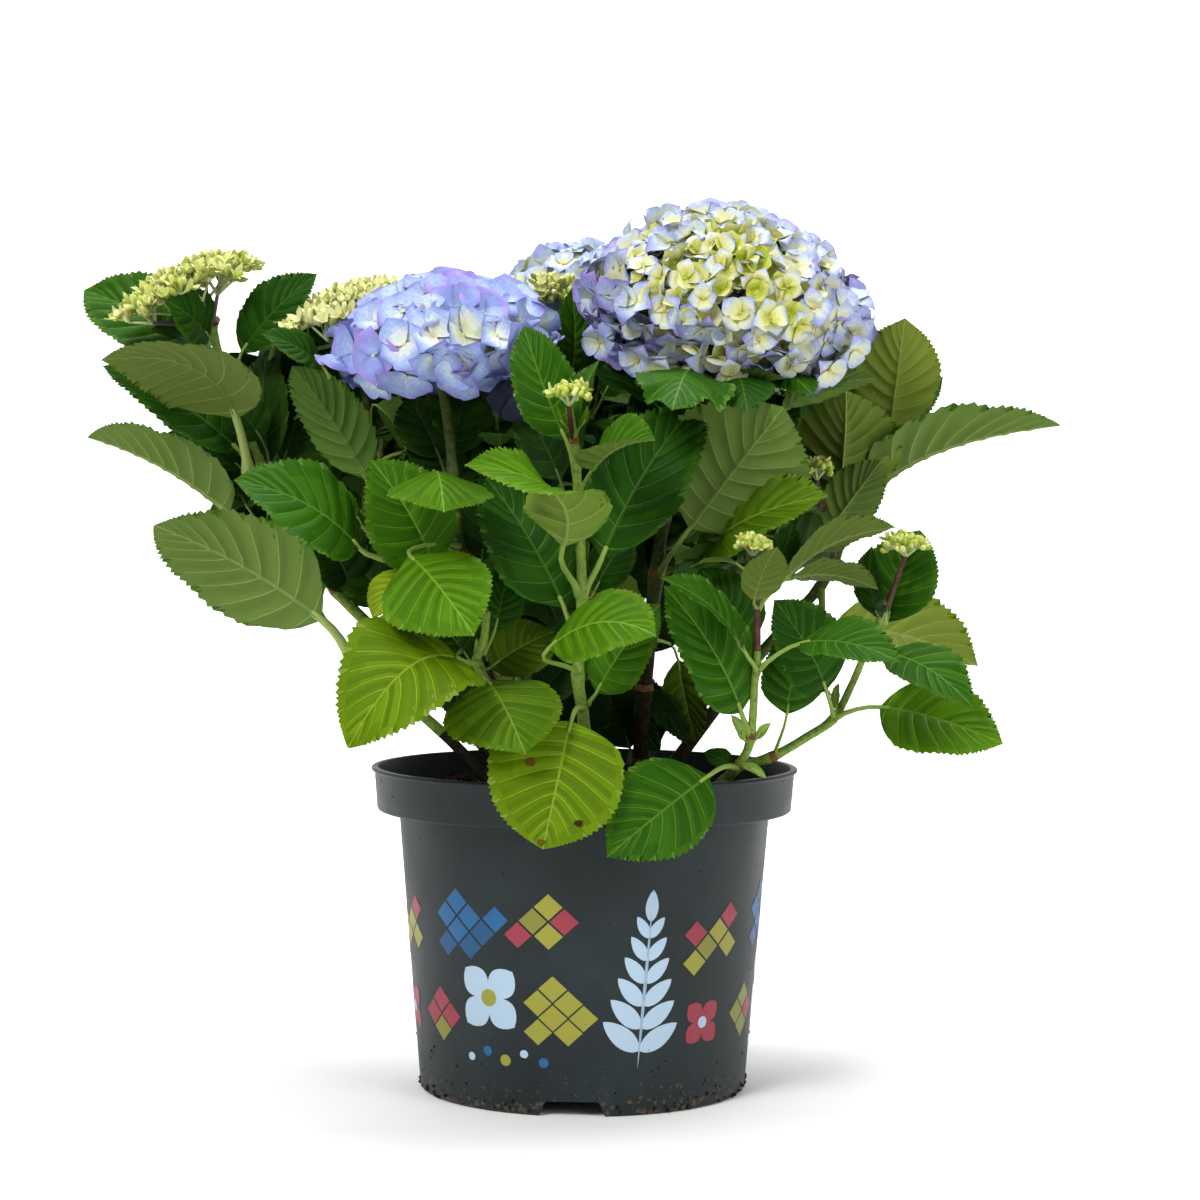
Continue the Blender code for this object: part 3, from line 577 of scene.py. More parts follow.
D0 = dict
# leaves given the deep tint sit inside the shrub, where that near-black green is painted shade
HEROES = [
    ("L2", (214, 338, 0), (196, 352, .022), (84, 290, .034), (.1, -.80, .5), .70, D0(tint="mid", wave=.014)),
    ("L2b", (214, 338, 0), (209, 338, -.008), (165, 300, -.035), (-.2, -.85, .5), .85, D0(tint="dark")),
    ("L2d", (214, 338, 0), (200, 346, .01), (150, 330, .0), (.1, -.6, .8), .6, D0()),
    ("L8", (236, 400, .003), (242, 352, .0), (317, 274, -.005), (-.4, -.88, .1), .50, D0(tint="dark", fold=14, puff=1.3)),
    ("L3", (249, 473, -.012), (236, 418, -.030), (101, 360, -.060), (-.1, .40, .91), .80, D0(tint="moss", fold=-13, via=(190, 366, -.050), stalk="thick")),
    ("L4", (249, 473, 0), (240, 452, -.005), (103, 366, -.020), (.35, -.75, .5), .44, D0(tint="dark")),
    ("L4b", (252, 480, .006), (243, 470, .01), (163, 435, .016), (.2, -.6, .75), .6, D0(tint="dark")),
    ("L4c", (252, 480, .006), (256, 468, .014), (200, 408, .030), (.2, -.8, .3), .7, D0(tint="deep")),
    ("L5", (337, 592, .014), (228, 512, .0), (88, 437, -.022), (.28, .25, .92), .56, D0(tint="sage", fold=34, arch=.06, full=(.62, .62))),
    ("L5b", (320, 570, .014), (246, 505, .022), (204, 464, .03), (.3, -.5, .8), .7, D0()),
    ("L6", (353, 663, -.034), (321, 619, -.050), (154, 525, -.080), (.25, .88, .40), .64, D0(tint="sage", fold=6, arch=.07, stalk="thick", full=(.95, .75))),
    ("L6b", (353, 663, -.034), (318, 606, -.01), (250, 520, -.0), (.25, .85, .45), .6, D0(tint="deep")),
    ("L7", (400, 567, -.074), (359, 548, -.088), (234, 480, -.118), (.30, -.66, .68), .78, D0(tint="mid", fold=6, arch=.12)),
    ("L12", (384, 545, -.03), (362, 526, -.035), (304, 476, -.050), (.4, -.55, .72), .44, D0(tint="rich")),
    ("L9a", (262, 467, .006), (270, 462, .004), (268, 350, .02), (-.4, -.85, .1), .55, D0(tint="deep")),
    ("L9b", (270, 480, .01), (283, 461, .01), (303, 366, .02), (.45, -.8, .1), .50, D0(tint="deep")),
    ("L9c", (270, 480, .01), (262, 440, -.01), (222, 392, -.012), (.2, -.8, .3), .7, D0(tint="deep")),
    ("L10", (371, 500, .012), (366, 478, -.010), (292, 366, -.040), (-.1, .78, .58), .43, D0(tint="mid", fold=14)),
    ("L10b", (371, 426, .012), (377, 405, -.0), (406, 452, -.022), (.6, .6, .4), .7, D0()),
    ("L10c", (371, 440, .02), (352, 400, .03), (290, 345, .03), (-.2, -.6, .7), .6, D0()),
    ("L13", (345, 600, .014), (391, 604, .0), (336, 552, .01), (.1, -.7, .5), .9, D0(tint="deep")),
    ("C1", (456, 560, -.060), (435, 568, -.072), (371, 460, -.085), (.25, -.86, .42), .76, D0(tint="rich", fold=8)),
    ("C2", (455, 520, -.055), (433, 474, -.085), (444, 512, -.140), (.05, -.45, .9), .95, D0(tint="fresh", fold=-22, arch=.16)),
    ("C3", (459, 545, -.060), (410, 556, -.100), (474, 636, -.140), (-.1, -.78, .62), .82, D0(tint="fresh", fold=-10, arch=.10)),
    ("C3b", (400, 567, -.074), (408, 571, -.080), (373, 619, -.095), (-.3, -.9, .3), .60, D0(tint="yellow")),
    ("C4", (479, 666, -.082), (462, 661, -.100), (348, 748, -.148), (-.10, -.84, .54), .76, D0(tint="lime", fold=4, via=(408, 668, -.138), facing_end=(-.1, -.6, .8), full=(.8, .8))),
    ("C5", (480, 668, -.082), (487, 680, -.100), (525, 754, -.138), (.08, -.80, .58), 1.06, D0(tint="olime", fold=-8)),
    ("C6", (480, 668, -.080), (490, 668, -.072), (554, 632, -.062), (0, -.85, .5), .85, D0(tint="olive")),
    ("C7", (484, 655, -.081), (495, 630, -.075), (509, 566, -.065), (.1, -.92, .2), .70, D0(tint="dark")),
    ("C7b", (520, 722, -.06), (536, 700, -.06), (592, 640, -.05), (.0, -.9, .3), .60, D0(tint="deep")),
    ("C8", (579, 595, -.093), (563, 546, -.122), (465, 465, -.158), (.30, .75, .60), .60, D0(tint="fresh", fold=8, via=(552, 490, -.136), facing_end=(-.2, -.95, .5))),
    ("C9", (578, 674, -.080), (564, 607, -.086), (486, 478, -.062), (.22, -.92, .32), .62, D0(tint="dark", fold=8)),
    ("C9b", (478, 600, -.052), (482, 560, -.05), (490, 470, -.05), (.0, -.9, .3), .62, D0(tint="deep")),
    ("C10", (583, 596, -.092), (602, 558, -.092), (698, 404, -.050), (-.30, -.88, .30), .52, D0(tint="dark", fold=10)),
    ("C10b", (583, 596, -.092), (560, 480, -.070), (520, 400, -.060), (.1, -.9, .3), .55, D0(tint="deep")),
    ("C11", (579, 495, -.103), (592, 470, -.118), (655, 440, -.150), (-.15, -.5, .85), .80, D0(tint="rich", fold=30)),
    ("C12L", (577, 492, -.103), (566, 440, -.104), (524, 326, -.096), (-.25, -.92, .15), .52, D0(tint="mid", fold=10)),
    ("C12R", (577, 492, -.103), (580, 454, -.100), (599, 360, -.085), (-.75, -.6, .2), .50, D0(tint="mid", fold=20)),
    ("M1", (586, 430, .070), (572, 372, .030), (572, 288, .012), (.25, -.95, .2), .52, D0(tint="mid")),
    ("M3", (586, 430, .070), (598, 392, .034), (596, 322, .022), (.3, -.9, .3), .60, D0(tint="deep")),
    ("M2", (586, 430, .070), (604, 395, .030), (640, 345, .022), (-.3, -.9, .3), .7, D0(tint="dark")),
    ("C12c", (574, 440, -.112), (567, 427, -.116), (557, 406, -.122), (-.5, -.8, .3), .40, D0(tint="fresh")),
    ("C12d", (574, 440, -.112), (580, 427, -.116), (587, 406, -.122), (.5, -.8, .3), .40, D0(tint="fresh")),
    ("C13", (578, 674, -.080), (549, 648, -.125), (656, 636, -.152), (.05, -.66, .74), .80, D0(tint="fresh", fold=-6, via=(600, 622, -.140))),
    ("C14", (588, 704, -.072), (597, 692, -.078), (660, 604, -.088), (-.1, -.86, .46), .58, D0(tint="rich")),
    ("C15", (582, 708, -.072), (571, 722, -.104), (543, 849, -.134), (0, -.95, .3), .98, D0(tint="lime", fold=4, arch=.05, wave=.006, full=(.8, .8))),
    ("C16", (736, 768, -.068), (708, 776, -.100), (607, 857, -.128), (.05, -.94, .34), .70, D0(tint="mid", fold=5, arch=.06, wave=.006)),
    ("R1", (716, 385, -.012), (690, 370, -.060), (672, 410, -.118), (.1, -.40, .9), .80, D0(tint="mid", fold=-14, arch=.10, wave=.06)),
    ("R1g", (716, 385, -.012), (738, 376, -.050), (748, 412, -.095), (-.1, -.5, .85), .66, D0(tint="dark", fold=-10)),
    ("R1b", (712, 395, -.012), (722, 404, -.035), (786, 378, -.075), (-.2, .6, .75), .55, D0()),
    ("R1c", (718, 380, -.008), (772, 374, -.030), (812, 394, -.070), (0, -.5, .85), .62, D0(tint="mid", fold=-14)),
    ("R1d", (712, 395, -.012), (786, 408, -.010), (877, 378, -.030), (-.2, .62, .75), .50, D0(tint="sage")),
    ("R1e", (712, 400, -.012), (780, 412, -.016), (848, 382, -.028), (-.2, .62, .75), .36, D0()),
    ("R1f", (710, 405, -.012), (660, 410, -.01), (590, 372, -.02), (.1, -.5, .8), .6, D0(tint="deep")),
    ("R2", (660, 574, -.020), (690, 528, -.055), (784, 407, -.088), (.25, .90, .36), .86, D0(tint="sage", fold=5)),
    ("R2b", (664, 520, -.02), (720, 470, -.01), (800, 400, .0), (.1, -.8, .5), .6, D0(tint="deep")),
    ("R3", (660, 574, -.018), (694, 560, -.035), (828, 496, -.088), (-.12, -.72, .68), .56, D0(tint="olime", fold=10)),
    ("R3b", (757, 580, -.09), (777, 570, -.060), (793, 524, -.058), (.1, -.9, .2), .6, D0(tint="dark")),
    ("R3c", (656, 578, -.018), (664, 540, -.0), (700, 470, .0), (.1, -.8, .5), .6, D0(tint="deep")),
    ("R4a", (846, 520, .054), (838, 508, .034), (846, 390, .006), (.28, .92, .22), .86, D0(tint="olime", fold=16)),
    ("R4b", (842, 545, .054), (826, 534, .020), (882, 460, -.004), (.3, .85, .42), .54, D0(tint="sage", fold=10)),
    ("R5", (858, 455, .051), (890, 430, .042), (905, 318, .026), (.1, .92, .2), .72, D0(tint="lime", fold=6)),
    ("R5b", (856, 465, .051), (880, 440, .055), (943, 377, .062), (.2, .85, .4), .5, D0()),
    ("R6", (836, 532, .054), (876, 488, .040), (1060, 425, .016), (-.12, .34, .92), .50, D0(tint="sage", fold=24, via=(946, 448, .030), stalk="thick", full=(.8, .8))),
    ("R6b", (845, 530, .054), (880, 480, .06), (905, 440, .07), (-.1, -.7, .6), .6, D0(tint="dark")),
    ("R7", (757, 609, -.095), (784, 579, -.075), (895, 527, -.055), (-.22, .5, .84), .54, D0(tint="moss", fold=10)),
    ("R8", (757, 609, -.095), (787, 579, -.068), (878, 589, -.042), (.08, .5, .85), .46, D0(tint="moss", fold=8)),
    ("R9a", (886, 602, -.020), (880, 619, -.012), (872, 546, -.020), (-.8, -.6, .1), .55, D0(tint="dark")),
    ("R9b", (886, 602, -.020), (887, 622, -.004), (920, 530, .006), (-.35, -.9, .2), .76, D0(tint="mid")),
    ("R10", (820, 590, .054), (832, 628, .036), (978, 666, .060), (.12, .72, .68), .60, D0(tint="lime", fold=24)),
    ("R11", (757, 671, -.089), (801, 643, -.102), (900, 662, -.135), (0, -.62, .78), .56, D0(tint="mid", fold=8)),
    ("R12", (870, 640, -.026), (886, 652, -.060), (972, 706, -.095), (.2, -.68, .7), .60, D0(tint="mid", fold=8)),
    ("R13", (834, 718, -.040), (880, 707, -.052), (1003, 744, -.078), (.05, -.84, .54), .68, D0(tint="fresh", fold=6, arch=.08)),
    ("R14a", (757, 671, -.089), (744, 650, -.106), (661, 578, -.130), (.38, -.52, .78), .46, D0(tint="mid", fold=16)),
    ("R14b", (751, 738, -.077), (741, 712, -.086), (664, 586, -.104), (.35, -.86, .36), .56, D0(tint="mid", fold=8)),
    ("R14c", (757, 640, -.092), (752, 642, -.082), (699, 568, -.070), (.3, -.85, .4), .66, D0(tint="dark")),
    ("R15", (834, 718, -.040), (826, 690, -.060), (774, 600, -.078), (.1, -.86, .45), .74, D0(tint="dark")),
    ("R16", (774, 757, -.040), (787, 714, -.056), (797, 628, -.052), (0, -.92, .3), .66, D0(tint="mid", fold=6)),
    ("R17", (757, 609, -.095), (754, 601, -.102), (777, 547, -.116), (-.30, .80, .45), .76, D0(tint="moss", fold=-12)),
    ("R17b", (757, 609, -.095), (736, 563, -.085), (690, 567, -.092), (0, .2, .95), .4, D0()),
    ("R19", (655, 640, -.01), (678, 660, .020), (697, 743, .024), (-.2, -.9, .2), .46, D0(tint="olive")),
    ("R20", (650, 660, -.01), (640, 690, .010), (688, 745, .0), (.4, -.8, .4), .42, D0(tint="deep")),
    ("R20b", (645, 690, -.01), (636, 716, .0), (660, 752, .0), (-.2, -.9, .2), .5, D0(tint="deep")),
    ("D1", (628, 765, .0), (630, 748, .0), (606, 688, .02), (0, -.9, .3), .85, D0(tint="deep")),
    ("D2", (645, 765, .02), (650, 748, .02), (634, 668, .03), (.1, -.9, .3), .62, D0(tint="deep")),
    ("D3", (610, 720, .06), (612, 706, .05), (642, 646, .04), (-.2, -.9, .3), .8, D0(tint="deep")),
    ("D4", (566, 765, .0), (576, 746, .0), (580, 674, .0), (0, -.9, .3), .86, D0(tint="deep")),
    ("D5", (540, 765, .0), (546, 742, .0), (520, 690, .01), (0, -.9, .3), .9, D0(tint="deep")),
    ("D6", (650, 640, -.008), (654, 652, .015), (676, 574, .02), (.1, -.9, .3), .60, D0(tint="deep")),
    ("D7", (353, 600, .012), (352, 592, .0), (306, 508, -.015), (.3, -.8, .4), .62, D0(tint="deep")),
    ("D8", (600, 640, .06), (600, 650, .05), (618, 590, .04), (0, -.9, .3), .8, D0(tint="deep")),
    ("D12", (330, 378, -.030), (322, 366, -.034), (262, 334, -.052), (.05, -.75, .65), .56, D0(tint="dark", fold=8)),
    ("D13", (345, 432, .016), (343, 378, .010), (296, 320, .0), (.05, -.85, .5), .72, D0(tint="dark")),
    ("D14", (583, 600, -.088), (594, 592, -.070), (628, 536, -.052), (-.1, -.9, .3), .62, D0(tint="dark")),
    ("D9", (660, 590, .0), (652, 600, .004), (640, 524, .012), (0, -.9, .3), .72, D0(tint="deep")),
    ("D10", (478, 640, -.06), (470, 660, -.05), (420, 600, -.045), (0, -.9, .3), .72, D0(tint="dark")),
    ("D11", (462, 650, -.06), (450, 668, -.052), (462, 722, -.06), (0, -.9, .3), .72, D0(tint="deep")),
    ("E1", (445, 475, -.050), (440, 458, -.040), (408, 396, -.030), (.1, -.9, .3), .85, D0(tint="deep")),
    ("E2", (450, 475, -.050), (452, 456, -.040), (466, 392, -.028), (0, -.9, .3), .80, D0(tint="deep")),
    ("E3", (455, 505, -.050), (452, 486, -.040), (418, 432, -.030), (.1, -.9, .3), .80, D0(tint="deep")),
    ("E4", (712, 400, -.012), (714, 388, -.020), (652, 362, -.036), (.1, -.8, .6), .62, D0(tint="deep")),
    ("E5", (716, 392, -.012), (722, 384, -.020), (800, 366, -.030), (-.1, -.8, .6), .58, D0(tint="dark")),
    ("E6", (660, 450, -.018), (656, 436, -.010), (640, 384, -.006), (0, -.9, .3), .85, D0(tint="deep")),
    ("S1", (750, 742, -.076), (757, 739, -.080), (771, 723, -.085), (-.5, -.8, .2), .42, D0(tint="pale", stalk="thin", fine=False)),
    ("S2", (750, 742, -.076), (744, 740, -.080), (731, 715, -.085), (.5, -.8, .2), .42, D0(tint="pale", stalk="thin", fine=False)),
    ("S3", (736, 768, -.066), (733, 766, -.066), (704, 752, -.064), (.1, -.9, .4), .62, D0(tint="dark", stalk="thin", fine=False)),
    ("S4", (736, 768, -.066), (742, 764, -.075), (766, 778, -.082), (.1, -.8, .6), .36, D0(tint="pale", stalk="thin", fine=False)),
    ("S5", (834, 718, -.040), (829, 692, -.045), (801, 679, -.052), (.1, -.8, .5), .34, D0(tint="pale", stalk="thin", fine=False)),
    ("S6", (834, 718, -.040), (836, 709, -.043), (839, 683, -.045), (-.6, -.7, .2), .40, D0(tint="pale", stalk="thin", fine=False)),
]
for name, node, base, tip, facing, ratio, more in HEROES:
    hero(name, node, base, tip, facing, ratio, **more)


def blotch(name, px, py, wide, tall, mat, seed):
    """A brown spot lying on a leaf, its rim draped on the blade."""
    skin = SKINS[[h[0] for h in HEROES].index(name)]
    flat = seen(skin)
    rnd = np.random.default_rng(seed)

    def on_skin(x, y, lift):
        gap = np.linalg.norm(flat - [x, y], axis=1)
        near = np.argsort(gap)[:5]
        weight = 1 / (gap[near] + 0.4)
        return at(x, y, float((skin[near, 1] * weight).sum() / weight.sum()) - lift)

    verts = [on_skin(px, py, 0.0008)]
    for ring, lift in ((0.55, 0.0008), (1.0, 0.0006)):
        for k in range(11):
            a = 2 * np.pi * k / 11
            r = ring * (1 + rnd.uniform(-0.28, 0.28))
            verts.append(on_skin(px + r * wide * math.cos(a), py + r * tall * math.sin(a), lift))
    faces = [(0, 1 + (k + 1) % 11, 1 + k, -1) for k in range(11)] + [(1 + k, 1 + (k + 1) % 11, 12 + (k + 1) % 11, 12 + k) for k in range(11)]
    LEAVES.add(np.array(verts), np.array(faces), LEAVES.mat(mat))


for name, px, py, wide, tall, mat, seed in (("C15", 530, 762, 6, 4.5, M_SPOT, 1), ("C15", 579, 823, 4.5, 3.5, M_SPOT_DARK, 2), ("C15", 541, 842, 4, 3, M_SPOT, 3),
                                            ("C15", 520, 748, 3.5, 2.5, M_SPOT, 5), ("R3", 822, 502, 3, 3, M_SPOT_DARK, 4)):
    blotch(name, px, py, wide, tall, mat, seed)

# ---------------------------------------------------------------- where foliage may show from the front
GRID = 3                                                 # pixels to a cell of the cover map
cover = np.zeros((1200 // GRID, 1200 // GRID), bool)


def fill_shape(shape):
    p = np.asarray(shape, float) / GRID
    x0, y0 = np.maximum(np.floor(p.min(0)).astype(int), 0)
    x1, y1 = np.minimum(np.ceil(p.max(0)).astype(int) + 1, cover.shape[0])
    if x1 <= x0 or y1 <= y0:
        return
    gx, gy = np.meshgrid(np.arange(x0, x1) + 0.5, np.arange(y0, y1) + 0.5)
    inside = np.zeros(gx.shape, bool)
    for (ax, ay), (bx, by) in zip(p, np.roll(p, -1, 0)):
        if ay != by:
            inside ^= ((ay > gy) != (by > gy)) & (gx < (bx - ax) * (gy - ay) / (by - ay) + ax)
    cover[y0:y1, x0:x1] |= inside


for ring in OUTLINES:
    fill_shape(seen(ring))
INNER_OUTLINE = [(240, 335), (300, 335), (335, 322), (556, 330), (560, 300), (590, 300), (600, 345), (640, 366), (700, 370), (790, 366), (830, 366), (800, 425), (802, 455),
            (850, 455), (868, 470), (862, 500), (835, 520), (800, 530), (786, 545), (770, 600), (720, 600), (668, 600),
            (655, 640), (640, 690), (655, 735), (640, 752), (560, 752), (500, 745), (455, 720), (475, 680), (470, 640),
            (430, 620), (385, 618), (352, 592), (350, 545), (358, 510), (362, 480), (309, 440), (306, 470), (244, 471),
            (205, 448), (165, 400), (150, 345)]
fill_shape(INNER_OUTLINE)

HEADS = {
    "great_head": ((72, -6, 421), (80, 70, 51), -5, 4, 0.80),
    "blue_head": ((-77, -52, 396), (60, 54, 33), 3, 5, 0.85),
    "back_head": ((-8, 100, 430), (49, 44, 31), 6, -4, 0.70),
    "lime_head_left": ((-222, -8, 427), (37, 25, 11), 24, 6, 0.8),
    "lime_head_mid": ((-135, 26, 421), (37, 30, 12), 18, 4, 0.8),
    "rear_head": ((-92, 134, 407), (47, 44, 28), -4, -6, 0.70),
    "rear_lime_head": ((112, 122, 392), (30, 27, 11), 10, -10, 0.8),
}
for (hx, hy, hz), (ha, hb, hc), *_ in HEADS.values():
    a = np.linspace(0, 2 * np.pi, 40)
    fill_shape(seen(np.stack([hx + ha * 0.93 * np.cos(a), np.full(40, hy), hz + hc * 0.9 * np.sin(a)], 1) * 0.001))


def hidden_share(points):
    """The share of these points that the front's foliage already covers."""
    q = (seen(points) / GRID).astype(int)
    ok = (q >= 0).all(1) & (q < cover.shape[0]).all(1)
    return float((cover[q[:, 1].clip(0, cover.shape[0] - 1), q[:, 0].clip(0, cover.shape[0] - 1)] & ok).mean())


# ---------------------------------------------------------------- the leafy masses
# centre, half sizes (mm), the cane that carries it, tints, boughs, pairs of leaves on each bough
MASSES = {
    # the deep tint in these masses is painted shade for their inner leaves
    "mass_left_top": ((-182, 8, 358), (26, 36, 50), "far_left", ("deep", "dark"), 2, 2),
    "mass_left_mid": ((-110, 4, 332), (37, 46, 54), "mid_left", ("deep", "dark", "mid"), 3, 3),
    "mass_centre": ((-28, -20, 334), (50, 50, 54), "back_head", ("deep", "deep", "dark"), 3, 3),
    "mass_front_low": ((-22, -62, 246), (42, 34, 36), "low_left", ("dark", "olive", "deep"), 2, 3),
    "mass_front_high": ((-32, -88, 318), (36, 30, 38), "front", ("deep", "dark"), 2, 2),
    "mass_under_great_head": ((72, -6, 346), (52, 50, 46), "great_head", ("deep", "dark", "mid"), 3, 3),
    "mass_right_front": ((94, -56, 282), (32, 30, 34), "right", ("deep", "dark"), 2, 2),
    "mass_right_back": ((142, 42, 342), (32, 42, 48), "far_right", ("deep", "dark", "mid"), 2, 3),
    "mass_back_left": ((-104, 98, 320), (56, 52, 54), "back_left", ("mid", "rich", "dark"), 4, 3),
    "mass_back_mid": ((-4, 124, 344), (52, 52, 58), "back_head", ("mid", "rich", "sage"), 4, 3),
    "mass_back_right": ((94, 114, 324), (56, 52, 56), "back_right", ("mid", "rich", "dark"), 4, 3),
    "mass_back_low": ((-44, 92, 246), (48, 42, 30), "back_left", ("lime", "olive", "rich"), 3, 2),
    "mass_back_outer": ((158, 108, 304), (38, 38, 42), "back_right", ("mid", "rich", "olive"), 3, 3),
    "mass_back_far_left": ((-172, 82, 310), (38, 38, 46), "far_left", ("mid", "rich", "sage"), 3, 3),
}


def exit_reach(p, d, c, h):
    """How far from p along d until the ellipsoid is left."""
    a = ((d / h) ** 2).sum()
    b = 2 * ((p - c) / h * d / h).sum()
    k = (((p - c) / h) ** 2).sum() - 1
    disc = b * b - 4 * a * k
    return (-b + math.sqrt(disc)) / (2 * a) if disc > 0 else 0.0


def rough_leaf(base, tip, facing, ratio):
    run = tip - base
    n = unit(facing)
    n = unit(n - unit(run) * (n @ unit(run)))
    side = np.cross(n, unit(run)) * np.linalg.norm(run) * ratio / 2
    out = [base, tip]
    for t in (0.12, 0.3, 0.5, 0.7, 0.88):
        w = np.interp(t, OUTLINE_AT, OUTLINE)
        c = base + run * t
        out += [c, c + side * w, c - side * w, c + side * w * 0.5, c - side * w * 0.5]
    return np.array(out)


def leaf_ring(base, tip, facing, ratio):
    """The seen outline of a leaf, roughly."""
    r = rough_leaf(base, tip, facing, ratio)
    c = r[2:].reshape(5, 5, 3)
    return seen(np.vstack([r[:1], c[:, 1], r[1:2], c[::-1, 2]]))


front_y = np.full(cover.shape, 9.0)
for skin in SKINS:
    halves = skin.reshape(2, -1, 3)
    cols = FINE["cols"] if halves.shape[1] % FINE["cols"] == 0 and halves.shape[1] == FINE["rows"] * FINE["cols"] else COARSE["cols"]
    g = halves.reshape(2, -1, cols, 3)
    for share in (0.0, 0.25, 0.5, 0.75):
        p = (g[:, :, :-1] * (1 - share) + g[:, :, 1:] * share).reshape(-1, 3)
        q = (seen(p) / GRID).astype(int).clip(0, cover.shape[0] - 1)
        np.minimum.at(front_y, (q[:, 1], q[:, 0]), p[:, 1])


def behind(points, slack=0.004):
    """True where every point lies behind the placed leaf that is seen there, or where none is."""
    q = (seen(points) / GRID).astype(int).clip(0, cover.shape[0] - 1)
    near = front_y[q[:, 1], q[:, 0]]
    return bool((points[:, 1] > np.where(near < 8, near + slack, -9)).all())


def line_of(a, b, count=9):
    return a + (b - a) * np.linspace(0, 1, count)[:, None]


FILLED = []
BOUGHS = []
filler_count = 0
for m_index, (m_name, (centre, half, cane, tints, boughs, pairs)) in enumerate(MASSES.items()):
    rng = np.random.default_rng(500 + m_index)
    c, h = np.array(centre) * 0.001, np.array(half) * 0.001
    path = cane_paths[cane]
    back = m_name.startswith("mass_back")
    goal = c - np.array([0, 0, h[2] * 1.1])
    start_i = int(np.argmin(np.linalg.norm(path - goal, axis=1) + 0.5 * np.clip(path[:, 2] - (c[2] - 0.6 * h[2]), 0, 1) * 4))
    for b in range(boughs):
        spin = 2 * np.pi * (b + rng.uniform(0, 0.5)) / boughs
        out = np.array([math.cos(spin), math.sin(spin), 0.0])
        root = path[max(4, min(len(path) - 3, start_i + int(rng.integers(-6, 7))))]
        top = c + out * h * (0.42 if boughs > 1 else 0.1) + np.array([0, 0, h[2] * rng.uniform(0.35, 0.62)])
        mid = c + out * h * 0.30 - np.array([0, 0, h[2] * 0.45])
        bough, run = resample(catmull([root, (root * 0.5 + mid * 0.5) - np.array([0, 0, 0.004]), mid, top], 8), 0.006)
        clear = [i for i in range(3, len(bough)) if hidden_share(bough[i:i + 1]) < 0.5 or not behind(bough[i:i + 1], 0.002)]
        if clear and clear[0] < 7 and not back:
            continue
        if clear:
            bough, run = bough[:max(5, clear[0] - 1)], run[:max(5, clear[0] - 1)]
        radii = 0.0024 - 0.0009 * run / run[-1]
        BOUGHS.append(bough[4:])
        # boughs inside the front masses take the painted shade copy of the stem green
        limb_mats = STEMS.mat(M_STEM_SHADE if not back else M_STEM)
        tube(STEMS, bough, radii, 8, limb_mats)
        spin0 = rng.uniform(0, np.pi)
        for k in range(pairs):
            share = 0.40 + 0.58 * (k + 0.5) / pairs
            node = bough[min(len(bough) - 2, int(share * (len(bough) - 1)))]
            axis = unit(bough[min(len(bough) - 1, int(share * (len(bough) - 1)) + 1)] - node)
            placed = 0
            for hand in (0, 1):
                best = None
                for attempt in range(9):
                    azim = spin0 + k * np.pi / 2 + hand * np.pi + rng.normal(0, 0.16 + 0.12 * attempt)
                    lift = rng.uniform(-0.10, 0.45) + 0.35 * k / pairs
                    d = unit(np.array([math.cos(azim), math.sin(azim), lift]))
                    reach = exit_reach(node, d, c, h * 1.06)
                    size = min(0.095, max(0.044, reach * rng.uniform(0.86, 1.0)))
                    if reach < 0.018:
                        continue
                    size *= 1.0 - 0.06 * attempt
                    stem = min(0.030, 0.30 * size)
                    base = node + d * stem + np.array([0, 0, 0.10 * stem])
                    tip = base + unit(d + np.array([0, 0, -0.28 - 0.2 * rng.random()])) * (size - stem) * 1.04
                    facing = unit(np.array([0, 0, 1.0]) + d * 0.35 + rng.normal(0, 0.14, 3))
                    ratio = rng.uniform(0.60, 0.72)
                    rough = rough_leaf(base, tip, facing, ratio)
                    if hidden_share(rough) >= 0.995 and behind(rough) and hidden_share(line_of(node, base)) > 0.85:
                        best = (base, tip, facing, ratio)
                        break
                if best is None:
                    continue
                base, tip, facing, ratio = best
                level = k / max(1, pairs - 1)
                tint = tints[int(rng.integers(0, len(tints)))]
                direction, span = leaf(INNER, base, tip, facing, ratio, rng.uniform(0.05, 0.13), rng.uniform(4, 16), tint,
                                       fine=False, wave=0.012, twist=rng.uniform(-12, 12), seed=int(rng.integers(1 << 30)))
                # stalks of the deep and dark inner leaves are painted shade
                petiole(STALKS, node, base, direction, 0.0012, STALKS.mat(M_PETIOLE_SHADE if tint in ("deep", "dark") else M_PETIOLE), 6)
                FILLED.append(leaf_ring(base, tip, facing, ratio))
                filler_count += 1
